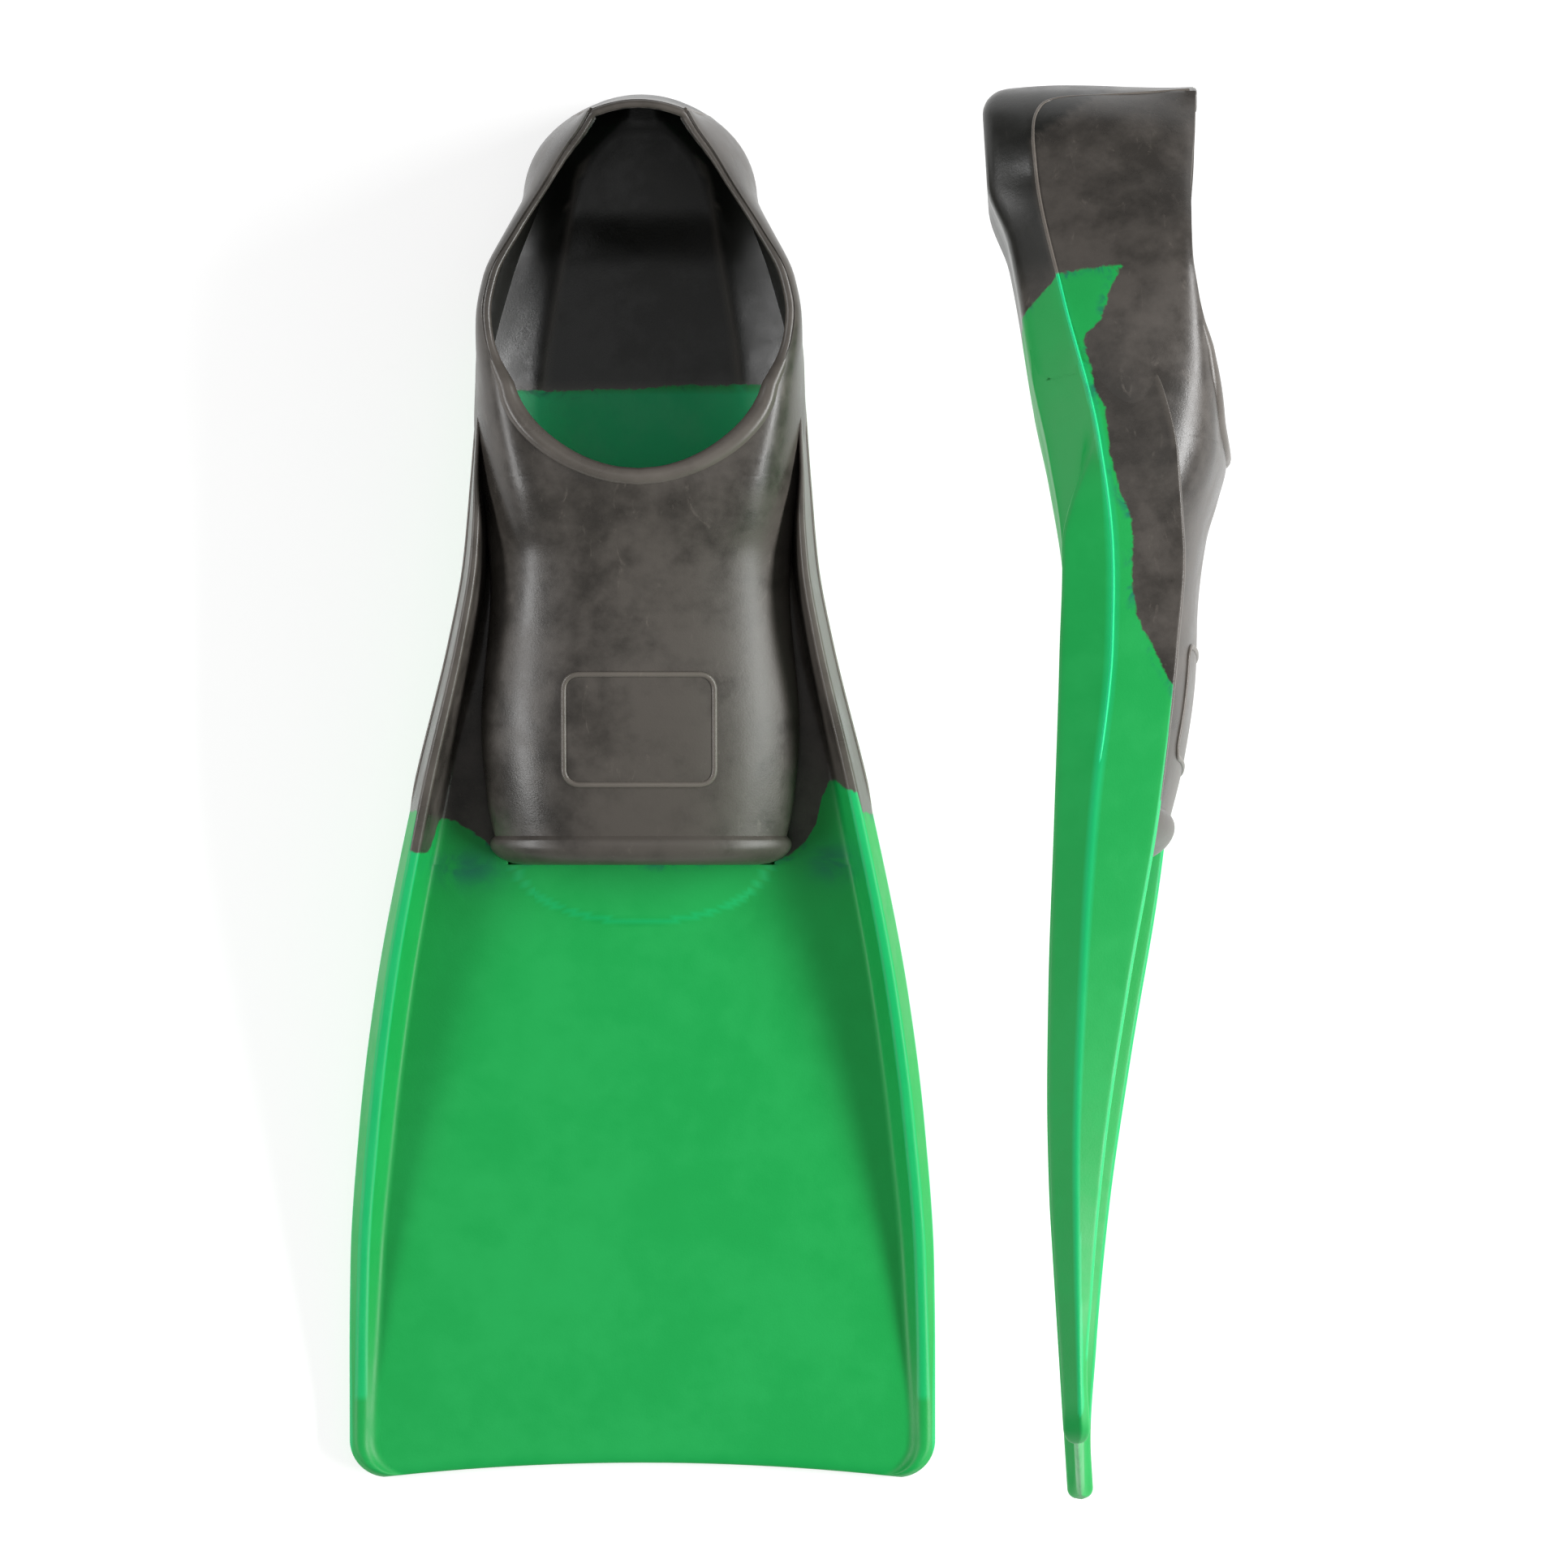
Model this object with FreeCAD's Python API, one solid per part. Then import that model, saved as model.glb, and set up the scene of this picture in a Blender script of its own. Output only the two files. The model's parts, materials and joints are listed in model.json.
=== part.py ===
"""A pair of full-foot rubber swim fins: one lies on its sole, the other on its side.

Each fin is built once in its own frame: X across the fin, Y from the blade's tip (-) to the
heel (0), Z up from the surface that it lies on. A station s is the distance from the back of
the heel towards the tip, so Y = -s. Sizes are in millimetres.
"""

import FreeCAD
import Part
import math
import os
from FreeCAD import Matrix, Rotation, Vector

# ---------------------------------------------------------------- driving dimensions
FIN_LENGTH = 480.0  # back of the heel to the blade's corners
POCKET_LENGTH = 267.0  # back of the heel to the end of the toe bead
BLADE_WIDTH = 204.0  # widest, near the tip
POCKET_WIDTH = 114.0  # across the widest part of the foot
HEEL_WIDTH = 76.0  # across the round of the heel
TUNNEL_WIDTH = 108.0  # the closed part over the toes, outside
TOE_WIDTH = 95.0  # the same at the toe bead

HEEL_RIM_HEIGHT = 73.0  # top of the heel wall
LIP_HEIGHT = 79.0  # crown of the instep just in front of the opening
TOE_HEIGHT = 46.0  # crown over the toes
ARCH_HEIGHT = 18.0  # sole above the ground under the arch
RAIL_ROOT_HEIGHT = 60.0  # top edge of the rails beside the instep
RAIL_TIP_HEIGHT = 9.0  # rail thickness at the tip

WALL = 3.0  # rubber of the pocket's walls and instep
SOLE = 6.0  # rubber under the heel
FOOTBED = 4.5  # rubber under the toes
BLADE_THICKNESS = 4.0  # blade sheet at its root
TIP_THICKNESS = 2.8  # blade sheet at its tip
RAIL_WIDTH = 11.0  # across a rail in the blade's middle
RAIL_ROOT_WIDTH = 7.0  # across a rail where it leaves the pocket
RAIL_TIP_WIDTH = 8.0  # across a rail at the tip
BEAD_RADIUS = 2.5  # round bead on the edge of the foot opening
TOE_BEAD_LENGTH = 9.0  # along the fin
TOE_BEAD_RISE = 1.6  # above the instep
PATCH_LENGTH = 39.0  # framed patch on the instep, along the fin
PATCH_WIDTH = 53.0
PATCH_SHARE = 0.825  # its middle, as a share of the pocket's length
PATCH_CORNER = 5.0
PATCH_LINE = 1.4  # width of the patch's raised frame
PATCH_RISE = 0.8
TIP_HOLLOW = 5.0  # how far the blade's end curves in between its corners
TIP_CORNER = 14.0  # plan radius of the blade's corners
HEEL_FLAT = 22.0  # flat rubber pad that the heel stands on, along the fin
PAD_CUT = 0.6  # the heel's round is cut this deep to make the flat pad

OPENING_BACK = 7.0  # back edge of the foot opening from the back of the heel
OPENING_FRONT = 133.0  # front of the foot opening
OPENING_WIDTH = 107.0  # widest part of the foot opening
OPENING_BACK_WIDTH = 32.0  # straight back edge of the opening
CUT_FLOOR = 64.0  # the opening's cut starts at this height, under the lowest rim

HINGE_STATIONS = (293.0, 355.5, 418.5)  # the blade bends about these stations
HINGE_BEND = (6.0, 8.0, 10.0)  # degrees each way
HINGE_GAP = 0.4  # between two spans, at the bending line
HINGE_SPARE = 0.6  # degrees that stay between two spans at full bend

HEEL_CUP_END = 45.0  # station where the heel cup meets the side walls
SIDE_WALL_END = 112.0  # station where the side walls meet the instep
HEEL_BLOCK_END = 86.0  # station where the heel's sole meets the footbed
RAIL_START = 142.0  # station where the rails leave the pocket

FIN_SPACING = 118.0  # centre line of the flat fin to the heel's sole of the other fin
FIN_TURN = 3.5  # degrees between the two fins' centre lines, as they lie
MESH_TOLERANCE = 0.3  # for measuring how the fin rests on its side

SEAM_DROP = 0.6  # the upper is made this much too deep, then cut to sit on the sole
HALF = 0.5
FAR = 400.0  # larger than the fin: reach of cutting tools


# ---------------------------------------------------------------- curves along the fin
def foot(share):
    """Station at a share of the pocket's length."""
    return share * POCKET_LENGTH


def blade(share):
    """Station at a share of the blade's length in front of the pocket."""
    return POCKET_LENGTH + share * (FIN_LENGTH - POCKET_LENGTH)


def between(low, high, share):
    return low + (high - low) * share


def curve(points):
    """A smooth function through (station, value) points that never overshoots them."""
    xs = [p[0] for p in points]
    ys = [p[1] for p in points]
    slopes = [(ys[i + 1] - ys[i]) / (xs[i + 1] - xs[i]) for i in range(len(xs) - 1)]
    tangents = [slopes[0]]
    for a, b in zip(slopes, slopes[1:]):
        tangents.append(0.0 if a * b <= 0 else 2 * a * b / (a + b))
    tangents.append(slopes[-1])

    def value(x):
        x = min(max(x, xs[0]), xs[-1])
        i = max(k for k in range(len(xs) - 1) if xs[k] <= x)
        span = xs[i + 1] - xs[i]
        t = (x - xs[i]) / span
        rise = t * t * (3 - 2 * t)
        bend_in = t * (1 - t) ** 2 * span
        bend_out = t * t * (t - 1) * span
        return between(ys[i], ys[i + 1], rise) + bend_in * tangents[i] + bend_out * tangents[i + 1]

    return value


def heel_round(station):
    """Half width of the heel's round back, an ellipse in plan."""
    back = 1 - station / foot(0.14)
    return HALF * HEEL_WIDTH * math.sqrt(max(0.0, 1 - back * back))


def blade_share(share):
    return HALF * between(POCKET_WIDTH, BLADE_WIDTH, share)


# half width of the parting line, the fin's widest outline
forefoot_outline = curve(
    [
        (foot(0.14), HALF * HEEL_WIDTH),
        (foot(0.24), HALF * between(HEEL_WIDTH, POCKET_WIDTH, 0.52)),
        (foot(0.36), HALF * between(HEEL_WIDTH, POCKET_WIDTH, 0.91)),
        (foot(0.50), blade_share(0.03)),
        (foot(0.61), blade_share(0.09)),
        (foot(0.71), blade_share(0.20)),
        (foot(0.91), blade_share(0.49)),
        (blade(0.21), blade_share(0.79)),
        (blade(0.43), blade_share(0.92)),
        (blade(0.65), blade_share(0.99)),
        (blade(0.82), blade_share(1.0)),
        (blade(1.0), blade_share(1.0)),
    ]
)
# height of the parting line, which is also the blade sheet's upper face
ridge_height = curve(
    [
        (foot(0.0), between(0, ARCH_HEIGHT, 0.9)),
        (foot(0.14), between(0, ARCH_HEIGHT, 0.95)),
        (foot(0.31), between(0, ARCH_HEIGHT, 1.31)),
        (foot(0.50), between(0, ARCH_HEIGHT, 1.82)),
        (foot(0.63), between(0, ARCH_HEIGHT, 1.95)),
        (foot(0.77), between(0, ARCH_HEIGHT, 1.83)),
        (foot(1.0), between(0, ARCH_HEIGHT, 1.27)),
        (blade(0.24), between(0, ARCH_HEIGHT, 0.92)),
        (blade(0.57), between(0, ARCH_HEIGHT, 0.55)),
        (blade(1.0), HALF * RAIL_TIP_HEIGHT + HALF * TIP_THICKNESS),
    ]
)
# underside of the sole along the centre line
sole_height = curve(
    [
        (foot(0.0), 5.0),
        (foot(0.03), 0.6),
        (foot(0.055), -PAD_CUT),
        (foot(0.055) + HEEL_FLAT, -PAD_CUT),
        (foot(0.22), between(0, ARCH_HEIGHT, 0.33)),
        (foot(0.41), between(0, ARCH_HEIGHT, 0.64)),
        (foot(0.50), between(0, ARCH_HEIGHT, 0.84)),
        (foot(0.62), ARCH_HEIGHT),
        (foot(1.0), between(0, ARCH_HEIGHT, 1.27) - BLADE_THICKNESS),
    ]
)
sole_half_width = curve(
    [
        (foot(0.0), 8.0),
        (foot(0.02), 16.0),
        (foot(0.05), 23.0),
        (foot(0.10), 0.36 * HEEL_WIDTH),
        (foot(0.24), between(0.39 * HEEL_WIDTH, 0.34 * POCKET_WIDTH, 0.4)),
        (foot(0.40), 0.345 * POCKET_WIDTH),
        (foot(0.63), 0.40 * POCKET_WIDTH),
        (foot(0.80), 0.46 * POCKET_WIDTH),
        (foot(1.0), HALF * between(POCKET_WIDTH, BLADE_WIDTH, 0.61) - RAIL_WIDTH),
    ]
)
footbed_half_width = curve(
    [
        (foot(0.08), 12.0),
        (foot(0.12), 0.31 * HEEL_WIDTH),
        (foot(0.22), 0.37 * HEEL_WIDTH),
        (foot(0.40), 0.315 * POCKET_WIDTH),
        (foot(0.62), 0.36 * POCKET_WIDTH),
        (foot(0.85), 0.39 * TUNNEL_WIDTH),
        (foot(1.0), 0.42 * TOE_WIDTH),
    ]
)
sole_thickness = curve([(foot(0.1), SOLE), (foot(0.5), SOLE), (foot(1.0), FOOTBED)])

# half width of the pocket where it stands on the sole
pocket_outline = curve(
    [
        (foot(0.14), HALF * HEEL_WIDTH),
        (foot(0.24), HALF * between(HEEL_WIDTH, POCKET_WIDTH, 0.52)),
        (foot(0.36), HALF * between(HEEL_WIDTH, POCKET_WIDTH, 0.91)),
        (foot(0.43), HALF * POCKET_WIDTH - 0.6),
        (foot(0.50), HALF * between(TUNNEL_WIDTH, POCKET_WIDTH, 0.35)),
        (foot(0.56), HALF * TUNNEL_WIDTH - 1.4),
        (foot(0.64), HALF * TUNNEL_WIDTH - 2.6),
        (foot(0.82), HALF * TUNNEL_WIDTH + 0.6),
        (foot(0.92), HALF * TUNNEL_WIDTH - 1.5),
        (foot(1.0), HALF * TOE_WIDTH),
    ]
)
# how far the walls swell out over their foot, half way up
belly = curve(
    [
        (foot(0.0), 4.0),
        (foot(0.06), 0.5),
        (foot(0.14), 0.5),
        (foot(0.24), 3.6),
        (foot(0.30), 2.8),
        (foot(0.40), 0.6),
        (foot(0.60), -0.6),
        (foot(1.0), -0.8),
    ]
)
# outer edge of the rim, and in front of the opening the instep's rounded shoulder
shoulder_half_width = curve(
    [
        (foot(0.0), HALF * OPENING_BACK_WIDTH + 1.0),
        (OPENING_BACK, HALF * OPENING_BACK_WIDTH + BEAD_RADIUS),
        (foot(0.12), 0.29 * OPENING_WIDTH + BEAD_RADIUS),
        (foot(0.18), 0.385 * OPENING_WIDTH + BEAD_RADIUS),
        (foot(0.24), 0.46 * OPENING_WIDTH + BEAD_RADIUS),
        (foot(0.29), HALF * OPENING_WIDTH),
        (foot(0.38), 0.47 * OPENING_WIDTH),
        (foot(0.50), 0.41 * TUNNEL_WIDTH),
        (foot(0.62), 0.365 * TUNNEL_WIDTH),
        (foot(0.82), 0.375 * TUNNEL_WIDTH),
        (foot(1.0), 0.365 * TOE_WIDTH),
    ]
)
shoulder_height = curve(
    [
        (foot(0.0), HEEL_RIM_HEIGHT),
        (foot(0.08), HEEL_RIM_HEIGHT - 1.5),
        (foot(0.17), HEEL_RIM_HEIGHT - 4.5),
        (foot(0.25), HEEL_RIM_HEIGHT - 4.5),
        (foot(0.34), HEEL_RIM_HEIGHT - 3.0),
        (foot(0.43), HEEL_RIM_HEIGHT - 1.5),
        (foot(0.50), between(HEEL_RIM_HEIGHT, LIP_HEIGHT, 0.0) - 2.0),
        (foot(0.55), between(TOE_HEIGHT, LIP_HEIGHT, 0.66)),
        (foot(0.60), between(TOE_HEIGHT, LIP_HEIGHT, 0.52)),
        (foot(0.69), between(TOE_HEIGHT, LIP_HEIGHT, 0.39)),
        (foot(0.78), between(TOE_HEIGHT, LIP_HEIGHT, 0.32)),
        (foot(0.88), between(TOE_HEIGHT, LIP_HEIGHT, 0.18)),
        (foot(1.0), TOE_HEIGHT - 4.0),
    ]
)
crown_height = curve(
    [
        (foot(0.0), HEEL_RIM_HEIGHT + 0.5),
        (foot(0.05), HEEL_RIM_HEIGHT + 1.0),
        (foot(0.30), HEEL_RIM_HEIGHT + 4.0),
        (foot(0.43), LIP_HEIGHT + 0.5),
        (foot(0.50), LIP_HEIGHT),
        (foot(0.55), between(TOE_HEIGHT, LIP_HEIGHT, 0.83)),
        (foot(0.60), between(TOE_HEIGHT, LIP_HEIGHT, 0.67)),
        (foot(0.69), between(TOE_HEIGHT, LIP_HEIGHT, 0.53)),
        (foot(0.78), between(TOE_HEIGHT, LIP_HEIGHT, 0.46)),
        (foot(0.88), between(TOE_HEIGHT, LIP_HEIGHT, 0.30)),
        (foot(1.0), TOE_HEIGHT),
    ]
)
opening_half_width = curve(
    [
        (OPENING_BACK, HALF * OPENING_BACK_WIDTH),
        (foot(0.12), 0.29 * OPENING_WIDTH),
        (foot(0.18), 0.385 * OPENING_WIDTH),
        (foot(0.24), 0.47 * OPENING_WIDTH),
        (foot(0.28), HALF * OPENING_WIDTH - 1.0),
        (foot(0.32), 0.475 * OPENING_WIDTH),
        (foot(0.385), 0.415 * OPENING_WIDTH),
        (foot(0.425), 0.34 * OPENING_WIDTH),
        (foot(0.458), 0.25 * OPENING_WIDTH),
        (foot(0.48), 0.16 * OPENING_WIDTH),
    ]
)

# rails
rail_top = curve(
    [
        (foot(0.50), RAIL_ROOT_HEIGHT),
        (foot(0.64), RAIL_ROOT_HEIGHT),
        (foot(0.77), between(RAIL_TIP_HEIGHT, RAIL_ROOT_HEIGHT, 0.92)),
        (foot(1.0), between(RAIL_TIP_HEIGHT, RAIL_ROOT_HEIGHT, 0.71)),
        (blade(0.28), between(RAIL_TIP_HEIGHT, RAIL_ROOT_HEIGHT, 0.44)),
        (blade(0.52), between(RAIL_TIP_HEIGHT, RAIL_ROOT_HEIGHT, 0.23)),
        (blade(0.75), between(RAIL_TIP_HEIGHT, RAIL_ROOT_HEIGHT, 0.08)),
        (blade(0.93), RAIL_TIP_HEIGHT),
        (blade(1.0), RAIL_TIP_HEIGHT),
    ]
)
rail_bottom = curve(
    [
        (foot(0.50), between(0, ARCH_HEIGHT, 0.84)),
        (foot(0.62), ARCH_HEIGHT),
        (foot(0.78), between(0, ARCH_HEIGHT, 0.82)),
        (foot(1.0), between(0, ARCH_HEIGHT, 0.53)),
        (blade(0.28), between(0, ARCH_HEIGHT, 0.22)),
        (blade(0.52), between(0, ARCH_HEIGHT, 0.04)),
        (blade(0.65), 0.0),
        (blade(1.0), 0.0),
    ]
)
rail_width = curve(
    [
        (foot(0.54), RAIL_ROOT_WIDTH),
        (foot(0.77), between(RAIL_ROOT_WIDTH, RAIL_WIDTH, 0.5)),
        (foot(1.0), RAIL_WIDTH),
        (blade(0.4), RAIL_WIDTH),
        (blade(1.0), RAIL_TIP_WIDTH),
    ]
)
sheet_thickness = curve([(foot(1.0), BLADE_THICKNESS), (blade(1.0), TIP_THICKNESS)])


def ridge_half_width(station):
    if station < foot(0.14):
        return heel_round(station)
    return forefoot_outline(station)


def pocket_half_width(station):
    if station < foot(0.14):
        return heel_round(station)
    return pocket_outline(station)


# ---------------------------------------------------------------- building blocks
def at(across, station, height):
    return Vector(across, -station, height)


def polygon(points):
    return Part.makePolygon(points + [points[0]])


def loft(sections):
    return Part.makeLoft(sections, True, False)


def prism(points, direction):
    return Part.Face(polygon(points)).extrude(direction)


def above_ground(shape):
    box = Part.makeBox(2 * FAR, 2 * FAR, FAR)
    box.translate(Vector(-FAR, -1.5 * FAR, 0))
    return shape.common(box)


def slab(station_from, station_to):
    """Everything between two stations."""
    box = Part.makeBox(2 * FAR, station_to - station_from, 2 * FAR)
    box.translate(Vector(-FAR, -station_to, -FAR))
    return box


def mirrored(shape):
    return shape.mirror(Vector(0, 0, 0), Vector(1, 0, 0))


def whole(shape):
    """The shape's solids, without crumbs left by a cut."""
    solids = sorted(shape.Solids, key=lambda s: -s.Volume)
    kept = [s for s in solids if s.Volume > 0.01 * solids[0].Volume]
    return kept[0] if len(kept) == 1 else Part.Compound(kept)


# ---------------------------------------------------------------- sole and blade sheet
SOLE_STATIONS = [0.002, 0.02, 0.05, 0.09, 0.14, 0.22, 0.31, 0.40, 0.50, 0.60, 0.70, 0.80, 0.90, 1.0]


def hull():
    """Solid between the sole's underside and the parting line, from heel to toes."""
    sections = []
    for share in SOLE_STATIONS:
        s = foot(share)
        low, top = sole_height(s), ridge_height(s)
        wide = ridge_half_width(max(s, 2.0))
        flat = min(sole_half_width(s), wide - 1.0)
        corners = [(-flat, low), (flat, low), (wide, top), (-wide, top)]
        sections.append(polygon([at(x, s, z) for x, z in corners]))
    return loft(sections)


def foot_hollow():
    """The room for the foot below the parting line."""
    sections = []
    for share in [0.045, 0.08, 0.14, 0.22, 0.31, 0.40, 0.50, 0.60, 0.70, 0.80, 0.90, 1.0]:
        s = foot(share)
        floor = sole_height(s) + sole_thickness(s)
        top = max(ridge_height(s), floor) + 1.0
        inner = pocket_half_width(s) - WALL
        flat = min(footbed_half_width(s), inner - 2.0)
        corners = [(-flat, floor), (flat, floor), (inner, top), (-inner, top)]
        sections.append(polygon([at(x, s, z) for x, z in corners]))
    return loft(sections)


def footprint():
    """A tall solid as wide as the pocket, which parts the footbed from the blade sheet."""
    stations = [foot(0.30 + 0.05 * i) for i in range(15)]
    right = [at(pocket_half_width(s), s, 0) for s in stations]
    left = [at(-pocket_half_width(s), s, 0) for s in reversed(stations)]
    return prism(left + right, Vector(0, 0, FAR))


def blade_sheet():
    """The sheet between the rails, in front of the pocket."""
    sections = []
    for share in [0.0, 0.15, 0.3, 0.45, 0.6, 0.8, 1.0]:
        s = blade(share)
        half = ridge_half_width(s) - rail_width(s)
        top = ridge_height(s)
        low = top - sheet_thickness(s)
        corners = [(-half, low), (half, low), (half, top), (-half, top)]
        sections.append(polygon([at(x, s, z) for x, z in corners]))
    return loft(sections)


def rail():
    """One rail, with its outer edge on the parting line."""
    sections = []
    first = (RAIL_START - POCKET_LENGTH) / (FIN_LENGTH - POCKET_LENGTH)
    for i in range(13):
        s = blade(between(first, 1.0, i / 12))
        out, wide = ridge_half_width(s), rail_width(s)
        mid, top, low = ridge_height(s), rail_top(s), rail_bottom(s)
        sheet = min(sheet_thickness(s), mid - low - 0.5)
        corners = [
            (out, mid),
            (out - 0.30 * wide, top),
            (out - 0.62 * wide, top),
            (out - wide, mid),
            (out - wide, mid - sheet),
            (out - 0.62 * wide, low),
            (out - 0.30 * wide, low),
        ]
        sections.append(polygon([at(x, s, z) for x, z in corners]))
    return loft(sections)


def tip_outline():
    """Plan shape of the blade's end: hollow between two rounded corners."""
    half = HALF * BLADE_WIDTH
    end = FIN_LENGTH
    inner = half - TIP_CORNER
    slant = TIP_CORNER * (1 - math.sqrt(HALF))
    edges = [
        Part.makeLine(at(-half - 1, 0, -1), at(half + 1, 0, -1)),
        Part.makeLine(at(half + 1, 0, -1), at(half + 1, end - TIP_CORNER, -1)),
        Part.makeLine(at(half + 1, end - TIP_CORNER, -1), at(half, end - TIP_CORNER, -1)),
        Part.Arc(
            at(half, end - TIP_CORNER, -1), at(half - slant, end - slant, -1), at(inner, end, -1)
        ).toShape(),
        Part.Arc(
            at(inner, end, -1), at(0, end - TIP_HOLLOW, -1), at(-inner, end, -1)
        ).toShape(),
        Part.Arc(
            at(-inner, end, -1), at(slant - half, end - slant, -1), at(-half, end - TIP_CORNER, -1)
        ).toShape(),
        Part.makeLine(at(-half, end - TIP_CORNER, -1), at(-half - 1, end - TIP_CORNER, -1)),
        Part.makeLine(at(-half - 1, end - TIP_CORNER, -1), at(-half - 1, 0, -1)),
    ]
    return Part.Face(Part.Wire(edges)).extrude(Vector(0, 0, FAR))


def tip_nose():
    """Side shape of the blade: its rails end in a round nose."""
    nose = HALF * RAIL_TIP_HEIGHT
    centre = FIN_LENGTH - nose
    edges = [
        Part.makeLine(at(-FAR, centre, 0), at(-FAR, 0, 0)),
        Part.makeLine(at(-FAR, 0, 0), at(-FAR, 0, FAR)),
        Part.makeLine(at(-FAR, 0, FAR), at(-FAR, centre - nose, FAR)),
        Part.makeLine(at(-FAR, centre - nose, FAR), at(-FAR, centre, 2 * nose)),
        Part.Arc(
            at(-FAR, centre, 2 * nose), at(-FAR, FIN_LENGTH, nose), at(-FAR, centre, 0)
        ).toShape(),
    ]
    return Part.Face(Part.Wire(edges)).extrude(Vector(2 * FAR, 0, 0))


# ---------------------------------------------------------------- pocket walls and instep
ARCH_PARAMETERS = [0.0, 0.15, 0.30, 0.40, 0.50, 0.60, 0.70, 0.85, 1.0]
WALL_STATIONS = (
    [0.004, 0.014, 0.035, 0.06, 0.09, 0.13, 0.18, 0.24, 0.29, 0.34, 0.39, 0.44]
    + [0.50, 0.55, 0.61, 0.68, 0.76, 0.84, 0.91, 0.96, 1.0]
)


def arch_points(station, shrink):
    """Half of a cross-section of the pocket's upper: base, side, shoulder, flat, crown."""
    base = pocket_half_width(max(station, 1.0)) - shrink
    low = ridge_height(station)
    shoulder = shoulder_half_width(station) - shrink
    high = shoulder_height(station) - shrink
    crown = crown_height(station) - shrink
    return [
        (base, low),
        (base + belly(station), between(low, high, 0.48)),
        (shoulder, high),
        (0.55 * shoulder, between(high, crown, 0.78)),
        (0.0, crown),
    ]


def arch_curve(station, shrink=0.0, drop=0.0):
    """The curve over a cross-section; drop lowers its base to cut right through."""
    half = arch_points(station, shrink)
    half[0] = (half[0][0], half[0][1] - drop)
    points = half + [(-x, z) for x, z in reversed(half[:-1])]
    spline = Part.BSplineCurve()
    spline.interpolate(
        Points=[at(x, station, z) for x, z in points], Parameters=ARCH_PARAMETERS
    )
    return spline


def arch_section(station, shrink, drop):
    spline = arch_curve(station, shrink, drop)
    return Part.Wire([spline.toShape(), Part.makeLine(spline.EndPoint, spline.StartPoint)])


def upper_height(station, across):
    """Height of the upper's outside at a distance from the centre line."""
    spline = arch_curve(station)
    low, high = 0.3, 0.5
    for _ in range(20):
        middle = HALF * (low + high)
        if spline.value(middle).x > across:
            low = middle
        else:
            high = middle
    return spline.value(low).z


def dome(shares, shrink=0.0, drop=0.0):
    """The upper as a closed form over the foot, from one station to another."""
    return loft([arch_section(foot(share), shrink, drop) for share in shares])


def opening_tool():
    """A tall plug with the plan shape of the foot opening."""
    stations = [OPENING_BACK, 20.0, 32.0, 47.0, 62.0, 73.0, 84.0, 100.0, 111.0, 120.0, 125.5]
    right = [at(opening_half_width(s), s, CUT_FLOOR) for s in stations]
    left = [at(-opening_half_width(s), s, CUT_FLOOR) for s in reversed(stations)]
    side = right + [at(0, OPENING_FRONT, CUT_FLOOR)] + left
    spline = Part.BSplineCurve()
    spline.interpolate(Points=side)
    back = Part.makeLine(left[-1], right[0])
    return Part.Face(Part.Wire([spline.toShape(), back])).extrude(Vector(0, 0, FAR))


def bead_route():
    """Corners of the opening bead's path, on the rim, from the back edge round the front."""
    right = []
    for s in [OPENING_BACK - 2.0, 30.0, 54.0, 74.0, 96.0, 114.0, 125.0]:
        half = opening_half_width(max(s, OPENING_BACK)) + HALF * BEAD_RADIUS
        right.append(at(half, s, upper_height(s, half) - HALF * BEAD_RADIUS))
    s = OPENING_FRONT + HALF * BEAD_RADIUS
    front = at(0, s, upper_height(s, 0) - HALF * BEAD_RADIUS)
    left = [Vector(-p.x, p.y, p.z) for p in reversed(right)]
    return right + [front] + left


def rounded_path(corners):
    """A closed wire of straight runs joined by tangent arcs."""
    count = len(corners)
    edges, arcs = [], []
    for i, corner in enumerate(corners):
        before = corners[i - 1] - corner
        after = corners[(i + 1) % count] - corner
        reach = 0.45 * min(before.Length, after.Length)
        a = corner + before.normalize() * reach
        b = corner + after.normalize() * reach
        turn = math.acos(max(-1.0, min(1.0, -before.dot(after))))
        radius = reach / math.tan(turn / 2)
        to_centre = (before + after).normalize()
        middle = corner + to_centre * (radius / math.cos(turn / 2) - radius)
        arcs.append((a, middle, b))
    for i, (a, middle, b) in enumerate(arcs):
        edges.append(Part.Arc(a, middle, b).toShape())
        edges.append(Part.makeLine(b, arcs[(i + 1) % count][0]))
    return Part.Wire(edges)


def opening_bead():
    path = rounded_path(bead_route())
    start = path.Edges[0].valueAt(path.Edges[0].FirstParameter)
    along = path.Edges[0].tangentAt(path.Edges[0].FirstParameter)
    ring = Part.Wire([Part.makeCircle(BEAD_RADIUS, start, along)])
    return path.makePipeShell([ring], True, False)


def patch_frame(upper):
    """Raised outline of the bare patch on the instep."""
    middle = foot(PATCH_SHARE)
    outer = rounded_rectangle(PATCH_WIDTH, PATCH_LENGTH, PATCH_CORNER, middle)
    inner = rounded_rectangle(
        PATCH_WIDTH - 2 * PATCH_LINE, PATCH_LENGTH - 2 * PATCH_LINE, PATCH_CORNER - PATCH_LINE, middle
    )
    raised = dome([0.68, 0.72, 0.76, 0.80, 0.84, 0.88, 0.91, 0.96], -PATCH_RISE)
    return outer.cut(inner).common(raised).cut(upper)


def rounded_rectangle(wide, long, corner, station):
    box = Part.makeBox(wide, long, FAR)
    box.translate(at(-HALF * wide, station + HALF * long, ridge_height(station) + 5))
    upright = [e for e in box.Edges if abs(e.tangentAt(e.FirstParameter).z) > 0.9]
    return box.makeFillet(corner, upright)


# ---------------------------------------------------------------- bending lines of the blade
def hinge_point(number):
    """(station, height) of a bending line, in the middle of the blade sheet."""
    s = HINGE_STATIONS[number]
    return s, ridge_height(s) - HALF * sheet_thickness(s)


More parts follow.
